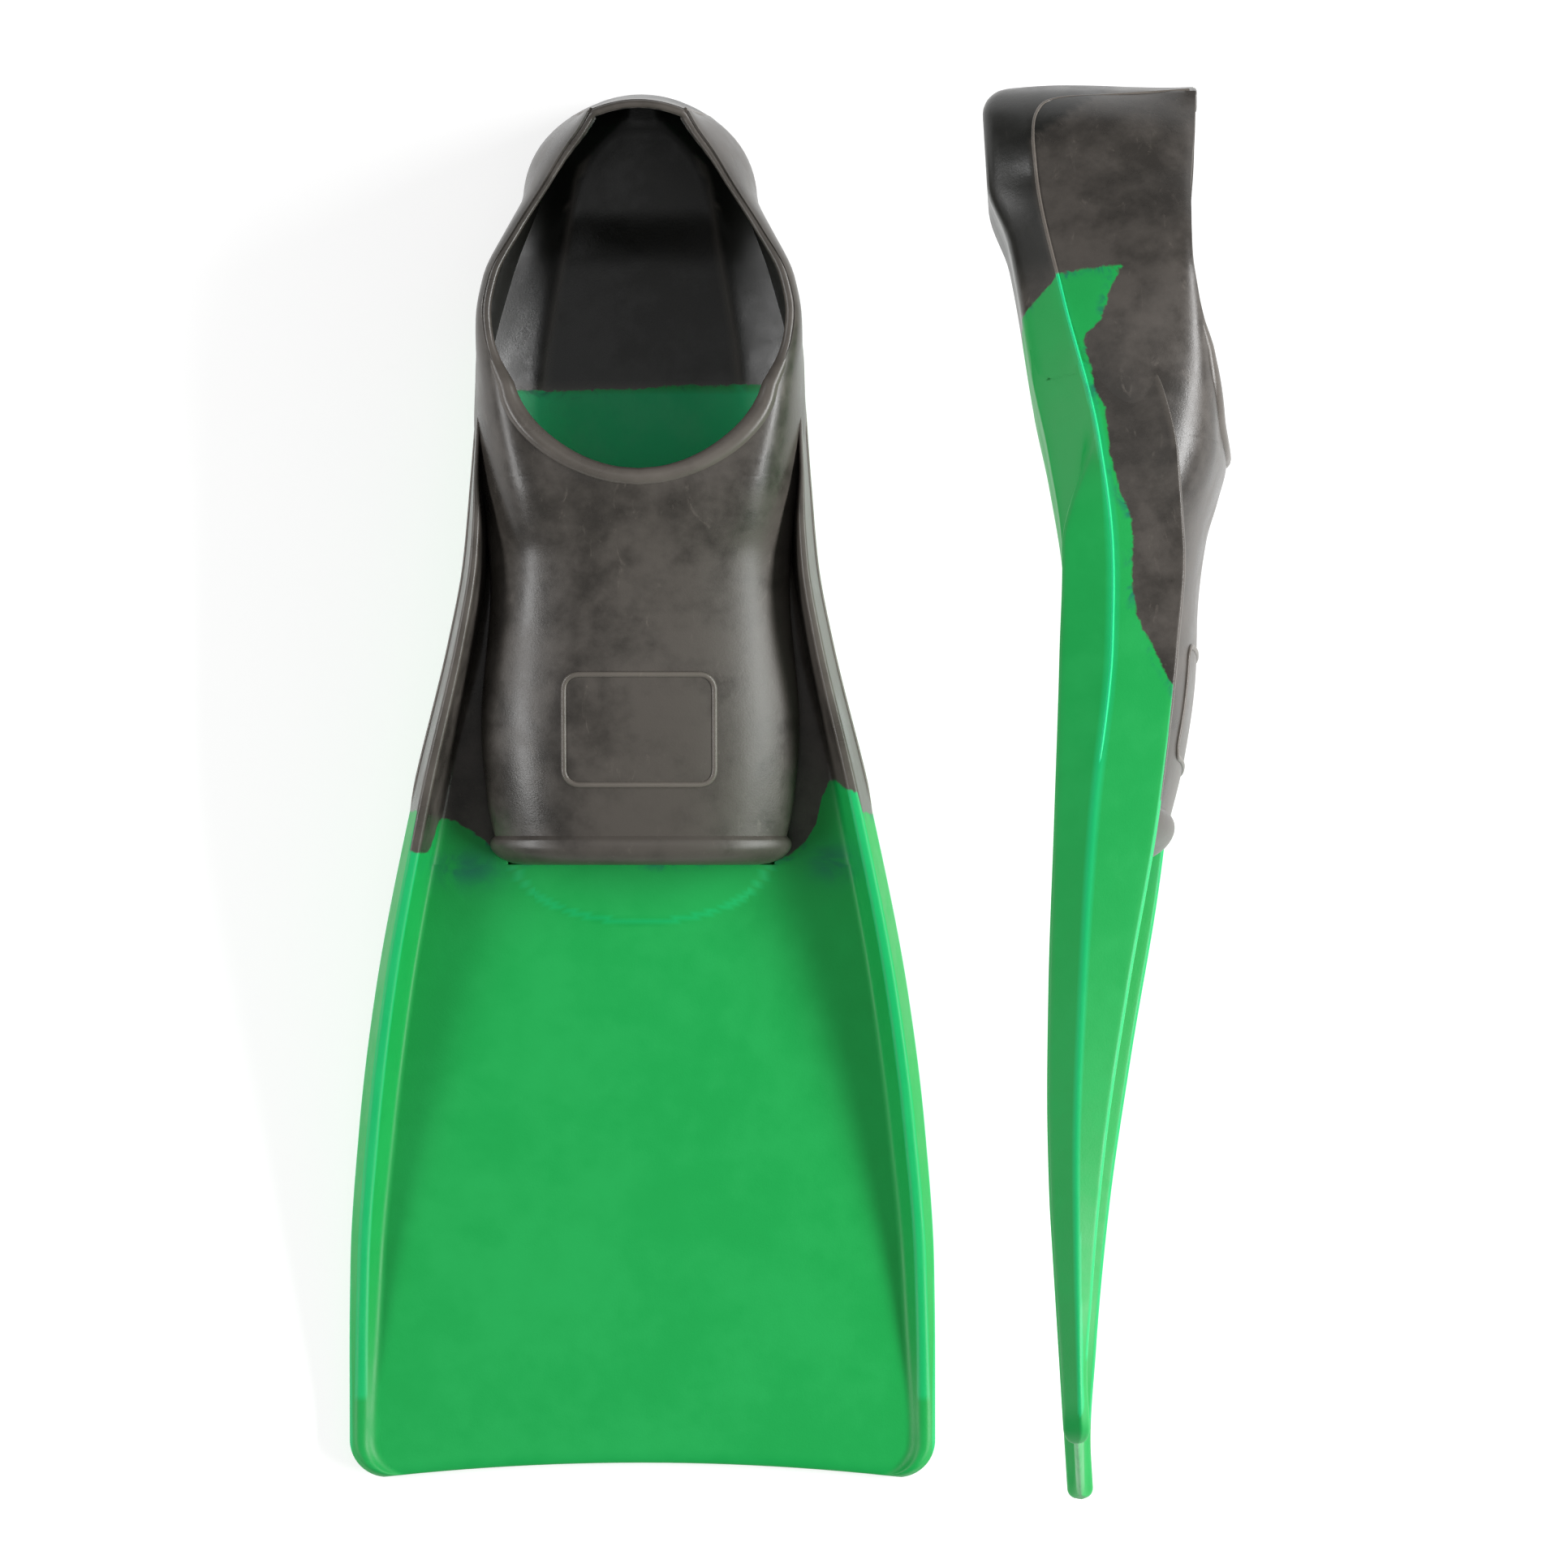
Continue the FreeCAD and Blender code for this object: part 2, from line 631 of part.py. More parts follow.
def bend_clearance(number):
    """What is left out round a bending line, so that two spans can turn without touching."""
    s, z = hinge_point(number)
    tall = RAIL_ROOT_HEIGHT + 10.0
    near = HALF * HINGE_GAP
    far = near + tall * math.tan(math.radians(HALF * (HINGE_BEND[number] + HINGE_SPARE)))
    corners = [
        (s - near, z), (s - far, z + tall), (s + far, z + tall),
        (s + near, z), (s + far, z - tall), (s - far, z - tall),
    ]
    return prism([at(-FAR, a, b) for a, b in corners], Vector(2 * FAR, 0, 0))


def spans(shape):
    """A shape along the blade, parted at the bending lines, from the foot to the tip."""
    for number in range(len(HINGE_STATIONS)):
        shape = shape.cut(bend_clearance(number))
    found = sorted(shape.Solids, key=lambda p: -p.CenterOfMass.y)
    return [p for p in found if p.Volume > 1.0]


# ---------------------------------------------------------------- one fin
def one_fin():
    """The pieces of one fin, by name, in the fin's own frame."""
    pieces = {}
    sole = above_ground(hull()).cut(foot_hollow())
    pieces["heel_block"] = whole(sole.common(slab(-1, HEEL_BLOCK_END)))
    front = sole.common(slab(HEEL_BLOCK_END, POCKET_LENGTH))
    tip = tip_outline().common(tip_nose())
    outer = rail().common(tip)
    foot_shape = footprint()
    pieces["footbed"] = whole(front.common(foot_shape).cut(outer).cut(mirrored(outer)))
    root = front.cut(foot_shape).cut(outer).cut(mirrored(outer))
    sheet = spans(blade_sheet().common(tip).cut(outer).cut(mirrored(outer)))
    pieces["blade_root"] = whole(Part.makeCompound([root]).fuse(sheet[0]).removeSplitter())
    for number in (1, 2, 3):
        pieces[f"blade_span_{number}"] = sheet[number]
    for side, shape in (("inner", outer), ("outer", mirrored(outer))):
        for number, part in enumerate(spans(shape)):
            name = f"{side}_rail_root" if number == 0 else f"{side}_rail_{number}"
            pieces[name] = part

    solid_sole = above_ground(hull())
    upper = dome(WALL_STATIONS, 0.0, SEAM_DROP).cut(solid_sole)
    pieces["patch_frame"] = whole(patch_frame(upper))
    room = dome([0.02] + WALL_STATIONS[3:] + [1.02], WALL, 2.0)
    bead = opening_bead()
    upper = upper.cut(room).cut(opening_tool()).cut(bead).cut(outer).cut(mirrored(outer))
    toe_start = POCKET_LENGTH - TOE_BEAD_LENGTH
    pieces["heel_cup"] = whole(upper.common(slab(-1, HEEL_CUP_END)))
    walls = sorted(upper.common(slab(HEEL_CUP_END, SIDE_WALL_END)).Solids, key=lambda p: -p.Volume)
    for wall in walls[:2]:
        side = "inner" if wall.CenterOfMass.x > 0 else "outer"
        pieces[f"{side}_side_wall"] = wall
    pieces["instep"] = whole(upper.common(slab(SIDE_WALL_END, toe_start)))
    toe = dome([0.93, 0.96, 0.98, 1.0], -TOE_BEAD_RISE, SEAM_DROP).cut(solid_sole)
    toe = toe.cut(dome([0.92, 0.95, 0.98, 1.01], WALL, 2.0))
    pieces["toe_bead"] = whole(toe.common(slab(toe_start, POCKET_LENGTH)))
    pieces["opening_bead"] = bead
    return pieces


# ---------------------------------------------------------------- how the two fins lie
def side_rest(pieces):
    """Pitch and lift that set a fin down on its side: it touches at the pocket and a rail."""
    points = []
    for shape in pieces.values():
        vertices, _ = shape.tessellate(MESH_TOLERANCE)
        points += [(-v.y, v.x) for v in vertices if v.x > 0]
    weight = sum(s.Volume for s in pieces.values())
    middle = sum(-s.CenterOfGravity.y * s.Volume for s in pieces.values()) / weight
    points.sort()
    edge = []
    for p in points:
        while len(edge) > 1 and turns_out(edge[-2], edge[-1], p):
            edge.pop()
        edge.append(p)
    a, b = next((a, b) for a, b in zip(edge, edge[1:]) if a[0] <= middle <= b[0])
    return math.atan2(b[1] - a[1], b[0] - a[0]), a


def turns_out(a, b, c):
    return (b[0] - a[0]) * (c[1] - a[1]) - (b[1] - a[1]) * (c[0] - a[0]) >= 0


def side_placement(pieces):
    """The flat fin's frame turned so that the fin lies on its inner side."""
    pitch, touch = side_rest(pieces)
    turn = Matrix()
    turn.rotateY(math.radians(90))
    turn.rotateX(-pitch)
    turn.rotateZ(math.radians(FIN_TURN))
    foot_point = turn.multVec(at(touch[1], touch[0], 0))
    turn.move(Vector(FIN_SPACING, 0, -foot_point.z))
    return turn


def centred(placements, pieces):
    """Both placements, moved so that the pair's box has its bottom centre at the origin."""
    low, high = [1e9] * 3, [-1e9] * 3
    for matrix in placements.values():
        for shape in pieces.values():
            vertices, _ = shape.tessellate(MESH_TOLERANCE)
            for v in vertices:
                p = matrix.multVec(v)
                low = [min(a, b) for a, b in zip(low, p)]
                high = [max(a, b) for a, b in zip(high, p)]
    shift = Vector(-HALF * (low[0] + high[0]), -HALF * (low[1] + high[1]), -low[2])
    for matrix in placements.values():
        matrix.move(shift)
    return placements


def build():
    os.makedirs("parts", exist_ok=True)
    pieces = one_fin()
    placements = centred({"left_fin": Matrix(), "right_fin": side_placement(pieces)}, pieces)
    for fin, matrix in placements.items():
        for name, shape in pieces.items():
            placed = shape.copy()
            placed.transformShape(matrix)
            placed.exportStep(f"parts/{fin}_{name}.step")
    return pieces, placements


if __name__ == "__main__":
    made, where = build()
    for name, shape in made.items():
        print(name, "valid" if shape.isValid() else "BROKEN", len(shape.Solids), round(shape.Volume))
    for fin, matrix in where.items():
        print(fin, [round(v, 3) for v in matrix.A])
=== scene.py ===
# %% [markdown]
# # A pair of rubber swim fins
# Each fin is one moulding of two rubbers: a black one for the foot pocket and a green one for the
# sole and the blade. The left fin lies on its sole and the right one on its side. Both have the
# same shape, so every piece is made once, in the fin's own frame, and laid down twice.

# %% Load the fixed frame
import json
import math

import bmesh
import bpy
from mathutils import Matrix, Vector
from mathutils.bvhtree import BVHTree

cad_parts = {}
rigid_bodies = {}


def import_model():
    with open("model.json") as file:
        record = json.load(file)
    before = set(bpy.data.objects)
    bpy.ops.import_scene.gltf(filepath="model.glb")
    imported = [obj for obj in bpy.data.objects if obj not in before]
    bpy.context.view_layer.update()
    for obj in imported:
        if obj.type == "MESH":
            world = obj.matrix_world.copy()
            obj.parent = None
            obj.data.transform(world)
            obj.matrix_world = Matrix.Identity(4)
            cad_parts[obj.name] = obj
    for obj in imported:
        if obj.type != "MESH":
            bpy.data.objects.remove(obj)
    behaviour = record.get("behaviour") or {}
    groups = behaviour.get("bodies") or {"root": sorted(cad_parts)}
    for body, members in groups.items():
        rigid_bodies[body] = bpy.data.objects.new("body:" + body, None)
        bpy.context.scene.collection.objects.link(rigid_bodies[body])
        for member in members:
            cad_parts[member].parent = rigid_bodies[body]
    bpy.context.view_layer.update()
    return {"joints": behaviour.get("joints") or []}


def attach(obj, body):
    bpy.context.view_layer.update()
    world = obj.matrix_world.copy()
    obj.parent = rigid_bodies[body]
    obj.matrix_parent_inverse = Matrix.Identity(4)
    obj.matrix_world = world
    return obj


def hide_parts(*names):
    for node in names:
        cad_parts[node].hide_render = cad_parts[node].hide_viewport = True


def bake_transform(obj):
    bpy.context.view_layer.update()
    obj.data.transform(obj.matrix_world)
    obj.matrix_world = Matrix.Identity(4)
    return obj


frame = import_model()
MM = 0.001

# %% [markdown]
# ## Measures that run along the fin
# A fin changes its width, height and thickness all along its length. A station is the distance in
# millimetres from the back of the heel. Each measure is a smooth curve through a few known
# values, and it never swings past them, as a thin batten wouldn't. Most stations are shares of
# the pocket's length or of the blade's.


# %% A smooth curve through known values
LENGTH = 480.0
POCKET = 267.0


def foot(share):
    return share * POCKET


def blade(share):
    return POCKET + share * (LENGTH - POCKET)


def curve(*points):
    """A smooth function through (station, value) points that never swings past them."""
    xs, ys = zip(*points)
    slopes = [(b - a) / (d - c) for a, b, c, d in zip(ys, ys[1:], xs, xs[1:])]
    tangents = [slopes[0]]
    for a, b in zip(slopes, slopes[1:]):
        tangents.append(0.0 if a * b <= 0 else 2 * a * b / (a + b))
    tangents.append(slopes[-1])

    def value(x):
        x = min(max(x, xs[0]), xs[-1])
        i = max(k for k in range(len(xs) - 1) if xs[k] <= x)
        span = xs[i + 1] - xs[i]
        t = (x - xs[i]) / span
        rise = t * t * (3 - 2 * t)
        ends = t * (1 - t) ** 2 * span * tangents[i] + t * t * (t - 1) * span * tangents[i + 1]
        return ys[i] + (ys[i + 1] - ys[i]) * rise + ends

    return value


def along_foot(*points):
    """A curve whose stations are shares of the pocket's length."""
    return curve(*[(foot(share), value) for share, value in points])


def smooth(low, high, x):
    """0 up to low, 1 from high on, and an even rise between them."""
    t = min(max((x - low) / (high - low), 0.0), 1.0)
    return t * t * (3 - 2 * t)


print("the pocket is", round(POCKET / LENGTH, 2), "of the fin's length")

# %% [markdown]
# The outline is the fin's widest line, where the two halves of the mould meet; the ridge height
# is that line's height. The sole lies under it and the pocket's walls stand on it.

# %% The sole and the outline
HEEL_ROUND, HEEL_HALF, HEEL_EDGE = foot(0.14), 38.0, 12.0
outline = curve((HEEL_ROUND, HEEL_HALF), (foot(0.24), 47.9), (foot(0.36), 55.3), (foot(0.5), 58.4),
                (foot(0.61), 61), (foot(0.71), 66), (foot(0.91), 79), (blade(0.21), 92.6),
                (blade(0.43), 98.4), (blade(0.65), 101.6), (blade(0.82), 102), (blade(1), 102))
ridge_height = curve((foot(0), 16.2), (foot(0.14), 17.1), (foot(0.31), 23.6), (foot(0.5), 32.8),
                     (foot(0.63), 35.1), (foot(0.77), 32.9), (foot(1), 22.9), (blade(0.24), 16.6),
                     (blade(0.57), 9.9), (blade(1), 5.9))
flat_sole = curve((HEEL_EDGE, 0), (HEEL_ROUND, 0), (foot(0.22), 5.9), (foot(0.41), 11.5),
                  (foot(0.5), 15.1), (foot(0.62), 18), (foot(1), 18.9))
sole_half = along_foot((0, 8), (0.02, 16), (0.05, 23), (0.1, 27.4), (0.24, 33.3), (0.4, 39.3),
                       (0.63, 45.6), (0.8, 52.4), (1, 73.4))


def sole_height(station):
    """The heel's lower edge is a quarter round; the rest follows the foot."""
    over = max(0.0, HEEL_EDGE - station)
    return flat_sole(station) + HEEL_EDGE - math.sqrt(HEEL_EDGE ** 2 - over ** 2)


def heel_round(station):
    """Half width of the rounded heel."""
    back = 1 - station / HEEL_ROUND
    return HEEL_HALF * math.sqrt(max(0.0, 1 - back * back))


print("the sole lifts", round(sole_height(POCKET), 1), "mm from the heel to the toes")


# %% The pocket's walls, the opening and the instep
CORNER, OPENING_FRONT, OPENING_SIDE_END = 4.3, 133.5, foot(0.385)
footbed_half = along_foot((0.02, 6), (0.08, 19), (0.12, 23.6), (0.22, 28.1), (0.4, 35.9),
                          (0.62, 41), (0.85, 42.1), (1, 39.9))
pocket_half = along_foot((0.14, 38), (0.24, 47.9), (0.36, 55.3), (0.43, 56.4), (0.5, 55),
                         (0.56, 52.6), (0.64, 51.4), (0.82, 54.6), (0.92, 52.5), (1, 47.5))
belly = along_foot((0, 0), (0.06, 1.5), (0.14, 2.5), (0.24, 3.6), (0.3, 2.8), (0.4, 0.6),
                   (0.6, -0.6), (1, -0.8))
opening_side = curve((CORNER, 15.8), (foot(0.045), 19.4), (foot(0.075), 24), (foot(0.12), 31),
                     (foot(0.18), 41.2), (foot(0.24), 50), (foot(0.285), 52.4), (foot(0.32), 51.3),
                     (foot(0.35), 48.6), (OPENING_SIDE_END, 44.2))
shoulder_half = curve((CORNER, 17.8), (foot(0.045), 21.6), (foot(0.075), 26.2), (foot(0.12), 33.5),
                      (foot(0.18), 43.7), (foot(0.24), 51.9), (foot(0.29), 54), (foot(0.38), 50.3),
                      (foot(0.5), 44.3), (foot(0.62), 39.4), (foot(0.82), 40.5), (foot(1), 34.7))
shoulder_height = along_foot((0, 73), (0.08, 71.5), (0.17, 68.5), (0.25, 68.5), (0.34, 70),
                             (0.43, 71), (0.5, 69.5), (0.55, 65.5), (0.6, 60), (0.69, 55.2),
                             (0.78, 53), (0.88, 48.5), (1, 40))
crown_height = along_foot((0, 73.5), (0.05, 74), (0.3, 75.5), (0.43, 76.5), (0.5, 76.5),
                          (0.55, 72.8), (0.6, 68.1), (0.69, 63.5), (0.78, 61.2), (0.88, 55.9),
                          (1, 46))
print("the opening is", round(OPENING_FRONT - CORNER), "mm long")

# %% The rails and the blade's sheet
RAIL_START = 96.0
rail_top = curve((RAIL_START, 46), (foot(0.44), 56), (foot(0.53), 59.7), (foot(0.64), 60),
                 (foot(0.77), 55.9), (foot(1), 45.2), (blade(0.28), 31.4), (blade(0.52), 20.7),
                 (blade(0.75), 13.1), (blade(0.93), 9), (blade(1), 9))
rail_bottom = curve((foot(0.5), 15.6), (foot(0.62), 18), (foot(0.78), 14.8), (foot(1), 9.5),
                    (blade(0.28), 4), (blade(0.52), 0.7), (blade(0.65), 0), (blade(1), 0))
rail_wide = curve((RAIL_START, 2.5), (foot(0.48), 4.2), (foot(0.56), 7.5), (foot(0.77), 10),
                  (foot(1), 11.5), (blade(0.3), 12), (blade(1), 8.5))
sheet = curve((POCKET, 4), (LENGTH, 2.8))
CREST_OUT, CREST_IN = 0.30, 0.62  # both edges of a rail's crest, as shares of the rail's width
print("the rails are", round(rail_top(POCKET) - rail_bottom(POCKET)), "mm tall beside the toes")

# %% [markdown]
# ## Where the two fins lie
# The blade of each fin bends at three hinge lines in the frame. The first and the last line,
# with the hinge's own direction, fix how a fin lies: they are known in the fin's own frame and in
# the pair's, and one turn and one shift carry the first onto the second.

# %% One matrix for each fin
HINGE_STATIONS = (293.0, 355.5, 418.5)
joints = {j["name"]: j for j in frame["joints"]}


def hinge_line(number):
    s = HINGE_STATIONS[number]
    return Vector((0, -s, ridge_height(s) - sheet(s) / 2)) * MM


def basis(across, first, last):
    x = Vector(across).normalized()
    y = (Vector(first) - Vector(last)).normalized()
    z = x.cross(y).normalized()
    return Matrix((x, z.cross(x), z)).transposed()


def place_of(side):
    first, last = joints[f"{side}_blade_flex_1"], joints[f"{side}_blade_flex_3"]
    here = basis((1, 0, 0), hinge_line(0), hinge_line(2))
    there = basis(first["axis"], first["pos_m"], last["pos_m"])
    turn = there @ here.inverted()
    shift = Vector(first["pos_m"]) - turn @ hinge_line(0)
    return Matrix.Translation(shift) @ turn.to_4x4()


PLACES = {side: place_of(side) for side in ("left", "right")}
for side, matrix in PLACES.items():
    print(side, "fin's heel is at", [round(v, 4) for v in matrix.translation])

# %% [markdown]
# ## From a grid to a moulded skin
# A moulded skin is a flat grid of faces carried onto a shape. The grid's rows follow the stations
# and its columns go round the cross-section. Each vertex also keeps notes for the rubber's
# colour: its place in the fin's own frame, how deep it lies in the green rubber, how much lighter
# it is painted, for rubbing and for painted highlights and painted light, and how much darker it
# is painted, for black run into the green and for painted shade.


# %% Notes on a mesh, and laying a piece down for both fins
NOTES = ("green_depth", "rubbing_and_painted_light", "stain_and_painted_shade")
SAME_SPOT, SAME_SEAM = 0.002, 0.01  # vertices closer than this, in millimetres, become one


def finish_mesh(bm, sharp=35.0):
    """Closes seams and poles, turns every face outwards and keeps edges over sharp degrees."""
    bmesh.ops.remove_doubles(bm, verts=bm.verts, dist=SAME_SPOT)
    bmesh.ops.dissolve_degenerate(bm, edges=bm.edges, dist=SAME_SPOT)
    bmesh.ops.recalc_face_normals(bm, faces=bm.faces)
    for face in bm.faces:
        face.smooth = True
    for edge in bm.edges:
        if len(edge.link_faces) == 2 and edge.calc_face_angle(0.0) > math.radians(sharp):
            edge.smooth = False
    bm.normal_update()


def lay_down(bm, name, notes, material, replaced, bodies, bend=None):
    """Makes the piece for both fins. With bend, it stays where it is, attached to no body."""
    for side, matrix in PLACES.items():
        mesh = bpy.data.meshes.new(f"{side}_fin_{name}")
        bm.to_mesh(mesh)
        mesh.attributes.new("place", "FLOAT_VECTOR", "POINT")
        for note in NOTES:
            mesh.attributes.new(note, "FLOAT", "POINT")
        coordinates = [c * MM for v in bm.verts for c in v.co]
        mesh.attributes["place"].data.foreach_set("vector", coordinates)
        for note, values in zip(NOTES, zip(*[notes(v, side) for v in bm.verts])):
            mesh.attributes[note].data.foreach_set("value", values)
        mesh.transform(matrix @ Matrix.Scale(MM, 4))
        mesh.materials.append(material)
        piece = bpy.data.objects.new(f"{side}_fin_{name}", mesh)
        bpy.context.scene.collection.objects.link(piece)
        if bend:
            start, end = (matrix @ (Vector((0, -s, ridge_height(s))) * MM) for s in bend)
            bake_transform(piece)
            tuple(start)
            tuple(end)
        else:
            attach(piece, f"{side}_{bodies[0]}")
        if replaced:
            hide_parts(*[f"{side}_fin_{node}" for node in replaced])
    print(name, "has", len(bm.faces), "faces on each fin")
    bm.free()


def grid_skin(bm, rows, columns, shape):
    """Adds a grid whose vertex in row i and column j goes to shape(i, j)."""
    new = bmesh.ops.create_grid(bm, x_segments=rows, y_segments=columns, size=1.0)["verts"]
    for v in new:
        i = round((v.co.x + 1) / 2 * rows)
        j = round((v.co.y + 1) / 2 * columns)
        v.co = shape(i, j)
    return new


def mirror_half(bm, verts):
    """Adds the other side of a half skin, and returns the faces of both."""
    faces = list({f for v in verts for f in v.link_faces})
    edges = list({e for f in faces for e in f.edges})
    copied = bmesh.ops.mirror(bm, geom=verts + edges + faces, axis="X", merge_dist=0.0)["geom"]
    faces += [g for g in copied if isinstance(g, bmesh.types.BMFace)]
    both = list({v for f in faces for v in f.verts})
    bmesh.ops.remove_doubles(bm, verts=both, dist=SAME_SEAM)
    return [f for f in faces if f.is_valid]


def open_loops(faces):
    """The border edges of some faces, as separate closed loops."""
    border = {e for f in faces for e in f.edges if len(e.link_faces) == 1}
    loops = []
    while border:
        loop, front = [], [border.pop()]
        while front:
            edge = front.pop()
            loop.append(edge)
            near = {e for v in edge.verts for e in v.link_edges} & border
            border -= near
            front += near
        loops.append(loop)
    return loops


def spread(start, end, step):
    """Even stations from start up to end, without end itself."""
    count = max(1, round((end - start) / step))
    return [start + (end - start) * n / count for n in range(count)]


# %% [markdown]
# ## The foot pocket
# The pocket is one shell: a sole, a wall round the heel and a closed upper over the toes. Half of
# its cross-section runs from the middle of the sole out to the parting line, up the wall, and
# over to the edge of the foot opening, or to the crown where the upper is closed. The same path
# drawn a wall's thickness further in gives the inside. Both halves are mirrored, and narrow strips
# close the rim and the toe end.

# %% The shell's rows: close together at the heel, the front of the opening and the toe bead
WALL = 3.0
sole_thickness = curve((26, 6), (131, 6), (POCKET, 4.5))
SOLE_COLUMNS, WALL_COLUMNS = 18, 34
SHELL_ROWS = (
    [0.0, 0.06, 0.2, 0.45, 0.8, 1.3, 1.9, 2.6, 3.4, CORNER, 5.4, 7.0, 9.0, 11.0]
    + spread(13, 104, 2.5) + spread(104, 127, 1.5) + spread(127, OPENING_FRONT, 0.6)
    + spread(OPENING_FRONT, 140, 1.1) + spread(140, 254, 2.4) + spread(254, POCKET, 0.6)
    + [POCKET]
)


def wall_foot(station):
    return heel_round(station) if station < HEEL_ROUND else pocket_half(station)


def thinner(half, station, inside):
    """A half width on the inside of the wall; round the heel the wall keeps its thickness."""
    if station < HEEL_ROUND:
        return half * (HEEL_HALF - inside) / HEEL_HALF
    return half - inside


def toe_corner(station, radius=8.0):
    """The toe end's corners are rounded in plan."""
    over = max(0.0, station - (POCKET - radius))
    return radius - math.sqrt(radius ** 2 - over ** 2)


print("the shell has", len(SHELL_ROWS), "rows")


# %% Paths across the pocket
FULLEST_UP = 0.48  # how far up the wall its fullest point is
HIP_ACROSS, HIP_UP = 0.55, 0.78  # a point between shoulder and crown, as shares of the way
FRONT_ROUND, FRONT_FULL = 1.6, 0.55  # powers that round the front of the opening
RIM_OUT, RIM_IN = 1.6, 0.3  # how far the skins stop short of the opening's edge


def spline(points, steps):
    """A rounded path through points, steps samples in each span (Catmull-Rom)."""
    path = []
    for k in range(1, len(points) - 2):
        p0, p1, p2, p3 = points[k - 1:k + 3]
        for n in range(steps):
            t = n / steps
            path.append(0.5 * (2 * p1 + (p2 - p0) * t + (2 * p0 - 5 * p1 + 4 * p2 - p3) * t * t
                               + (3 * p1 - p0 - 3 * p2 + p3) * t ** 3))
    return path + [points[-2].copy()]


def arch(station, inside):
    """Half of the upper's cross-section, from the parting line to the crown."""
    base = thinner(wall_foot(station), station, inside)
    low, high = ridge_height(station), shoulder_height(station) - inside
    crown, shoulder = crown_height(station) - inside, shoulder_half(station) - inside
    swell = belly(station)
    points = [
        Vector((base, low)),
        Vector((base + swell, low + FULLEST_UP * (high - low))),
        Vector((shoulder, high)),
        Vector((HIP_ACROSS * shoulder, high + HIP_UP * (crown - high))),
        Vector((0, crown)),
    ]
    before = Vector((2 * base - points[1].x, 2 * low - points[1].y))
    after = Vector((-points[3].x, points[3].y))
    return spline([before] + points + [after], 16)


def opening_half(station):
    """Half width of the foot opening; nothing where the upper is closed."""
    if station >= OPENING_FRONT:
        return 0.0
    if station <= OPENING_SIDE_END:
        return opening_side(station)
    share = (station - OPENING_SIDE_END) / (OPENING_FRONT - OPENING_SIDE_END)
    return opening_side(OPENING_SIDE_END) * (1 - share ** FRONT_ROUND) ** FRONT_FULL


def resample(path, count):
    """The same path with count even spans."""
    runs = [(b - a).length for a, b in zip(path, path[1:])]
    total, made, i, done = sum(runs), [path[0].copy()], 0, 0.0
    for n in range(1, count):
        goal = total * n / count
        while done + runs[i] < goal:
            done += runs[i]
            i += 1
        made.append(path[i].lerp(path[i + 1], (goal - done) / max(runs[i], 1e-9)))
    return made + [path[-1].copy()]


def upper_half(station, inside):
    """The wall and the arch, up to the edge of the opening."""
    if station < CORNER:
        half = thinner(heel_round(station), station, inside)
        path = [Vector((half, ridge_height(station))), Vector((half, shoulder_height(station)))]
        return resample(path, WALL_COLUMNS)
    path = arch(station, inside)
    stop = opening_half(station)
    if stop and inside:
        stop = min(stop, shoulder_half(station) - inside - RIM_IN)
    elif stop:
        stop += RIM_OUT
    half_up = 0.5 * (path[0].y + path[-1].y)
    kept = [path[0]]
    for a, b in zip(path, path[1:]):
        if a.x > stop >= b.x and b.y > half_up and stop > 0:
            kept.append(a.lerp(b, (a.x - stop) / (a.x - b.x)))
            break
        kept.append(b)
    return resample(kept, WALL_COLUMNS)


def rounded(corners, radii, count):
    """A path through corners with each corner rounded, resampled to even spans."""
    path = [corners[0]]
    for before, corner, after, radius in zip(corners, corners[1:], corners[2:], radii[1:]):
        a, b = before - corner, after - corner
        cut = min(radius, 0.45 * a.length, 0.45 * b.length)
        start, end = corner + a.normalized() * cut, corner + b.normalized() * cut
        for t in (n / 6 for n in range(7)):
            path.append(start.lerp(corner, t).lerp(corner.lerp(end, t), t))
    return resample(path + [corners[-1]], count)


def bottom_half(station, inside):
    """From the middle of the sole to the parting line. In front, the blade's skin covers it."""
    base, top = thinner(wall_foot(station), station, inside), ridge_height(station)
    if inside:
        floor = sole_height(max(station, 8.0)) + sole_thickness(station)
        flat = max(0.0, min(footbed_half(station), base - 1.5))
        corners = [Vector((0, floor)), Vector((flat, floor)), Vector((base, max(top, floor + 1)))]
        return rounded(corners, [0, 3.0, 0], SOLE_COLUMNS)
    covered = smooth(112, 122, station)
    low = sole_height(station) + 0.8 * covered
    wide = heel_round(station) if station < HEEL_ROUND else outline(station)
    wide = wide - 0.5 * covered + (base - wide) * smooth(110, 118, station)
    flat = max(0.0, min(sole_half(station), wide - 1.2))
    corners = [Vector((0, low)), Vector((flat, low)), Vector((wide, max(top, low + 0.5)))]
    return rounded(corners, [0, 4.0, 0], SOLE_COLUMNS)


print("the crown stands", round(arch(OPENING_FRONT, 0.0)[-1].y, 1), "mm high")


# %% [markdown]
# The toe end carries a thick bead, because the edge of a moulded rubber opening tears easily. It
# isn't a piece of its own, so the shell's outside is pushed outwards there.


# %% The shell's surface, outside and inside
BEAD_START, BEAD_END, BEAD_HIGH = POCKET - 9.6, POCKET + 0.15, 3.0
# The toe end's half width and height, and the share of its corners' rounding that lowers the arch.
TOE_HALF, TOE_HIGH, TOE_LOWER = 50, 30, 0.35
LEAN = 3.6


def toe_bulge(station):
    """How far the thick bead stands out at the toe end."""
    if station < BEAD_START:
        return 0.0
    share = min(1.0, (station - BEAD_START) / (BEAD_END - BEAD_START))
    return BEAD_HIGH * math.sin(math.pi * share) ** 0.5


def heel_lean(station, height):
    """How far the top of the heel leans forwards."""
    return LEAN * smooth(20, 74, height) * (1 - smooth(0, 26, station))


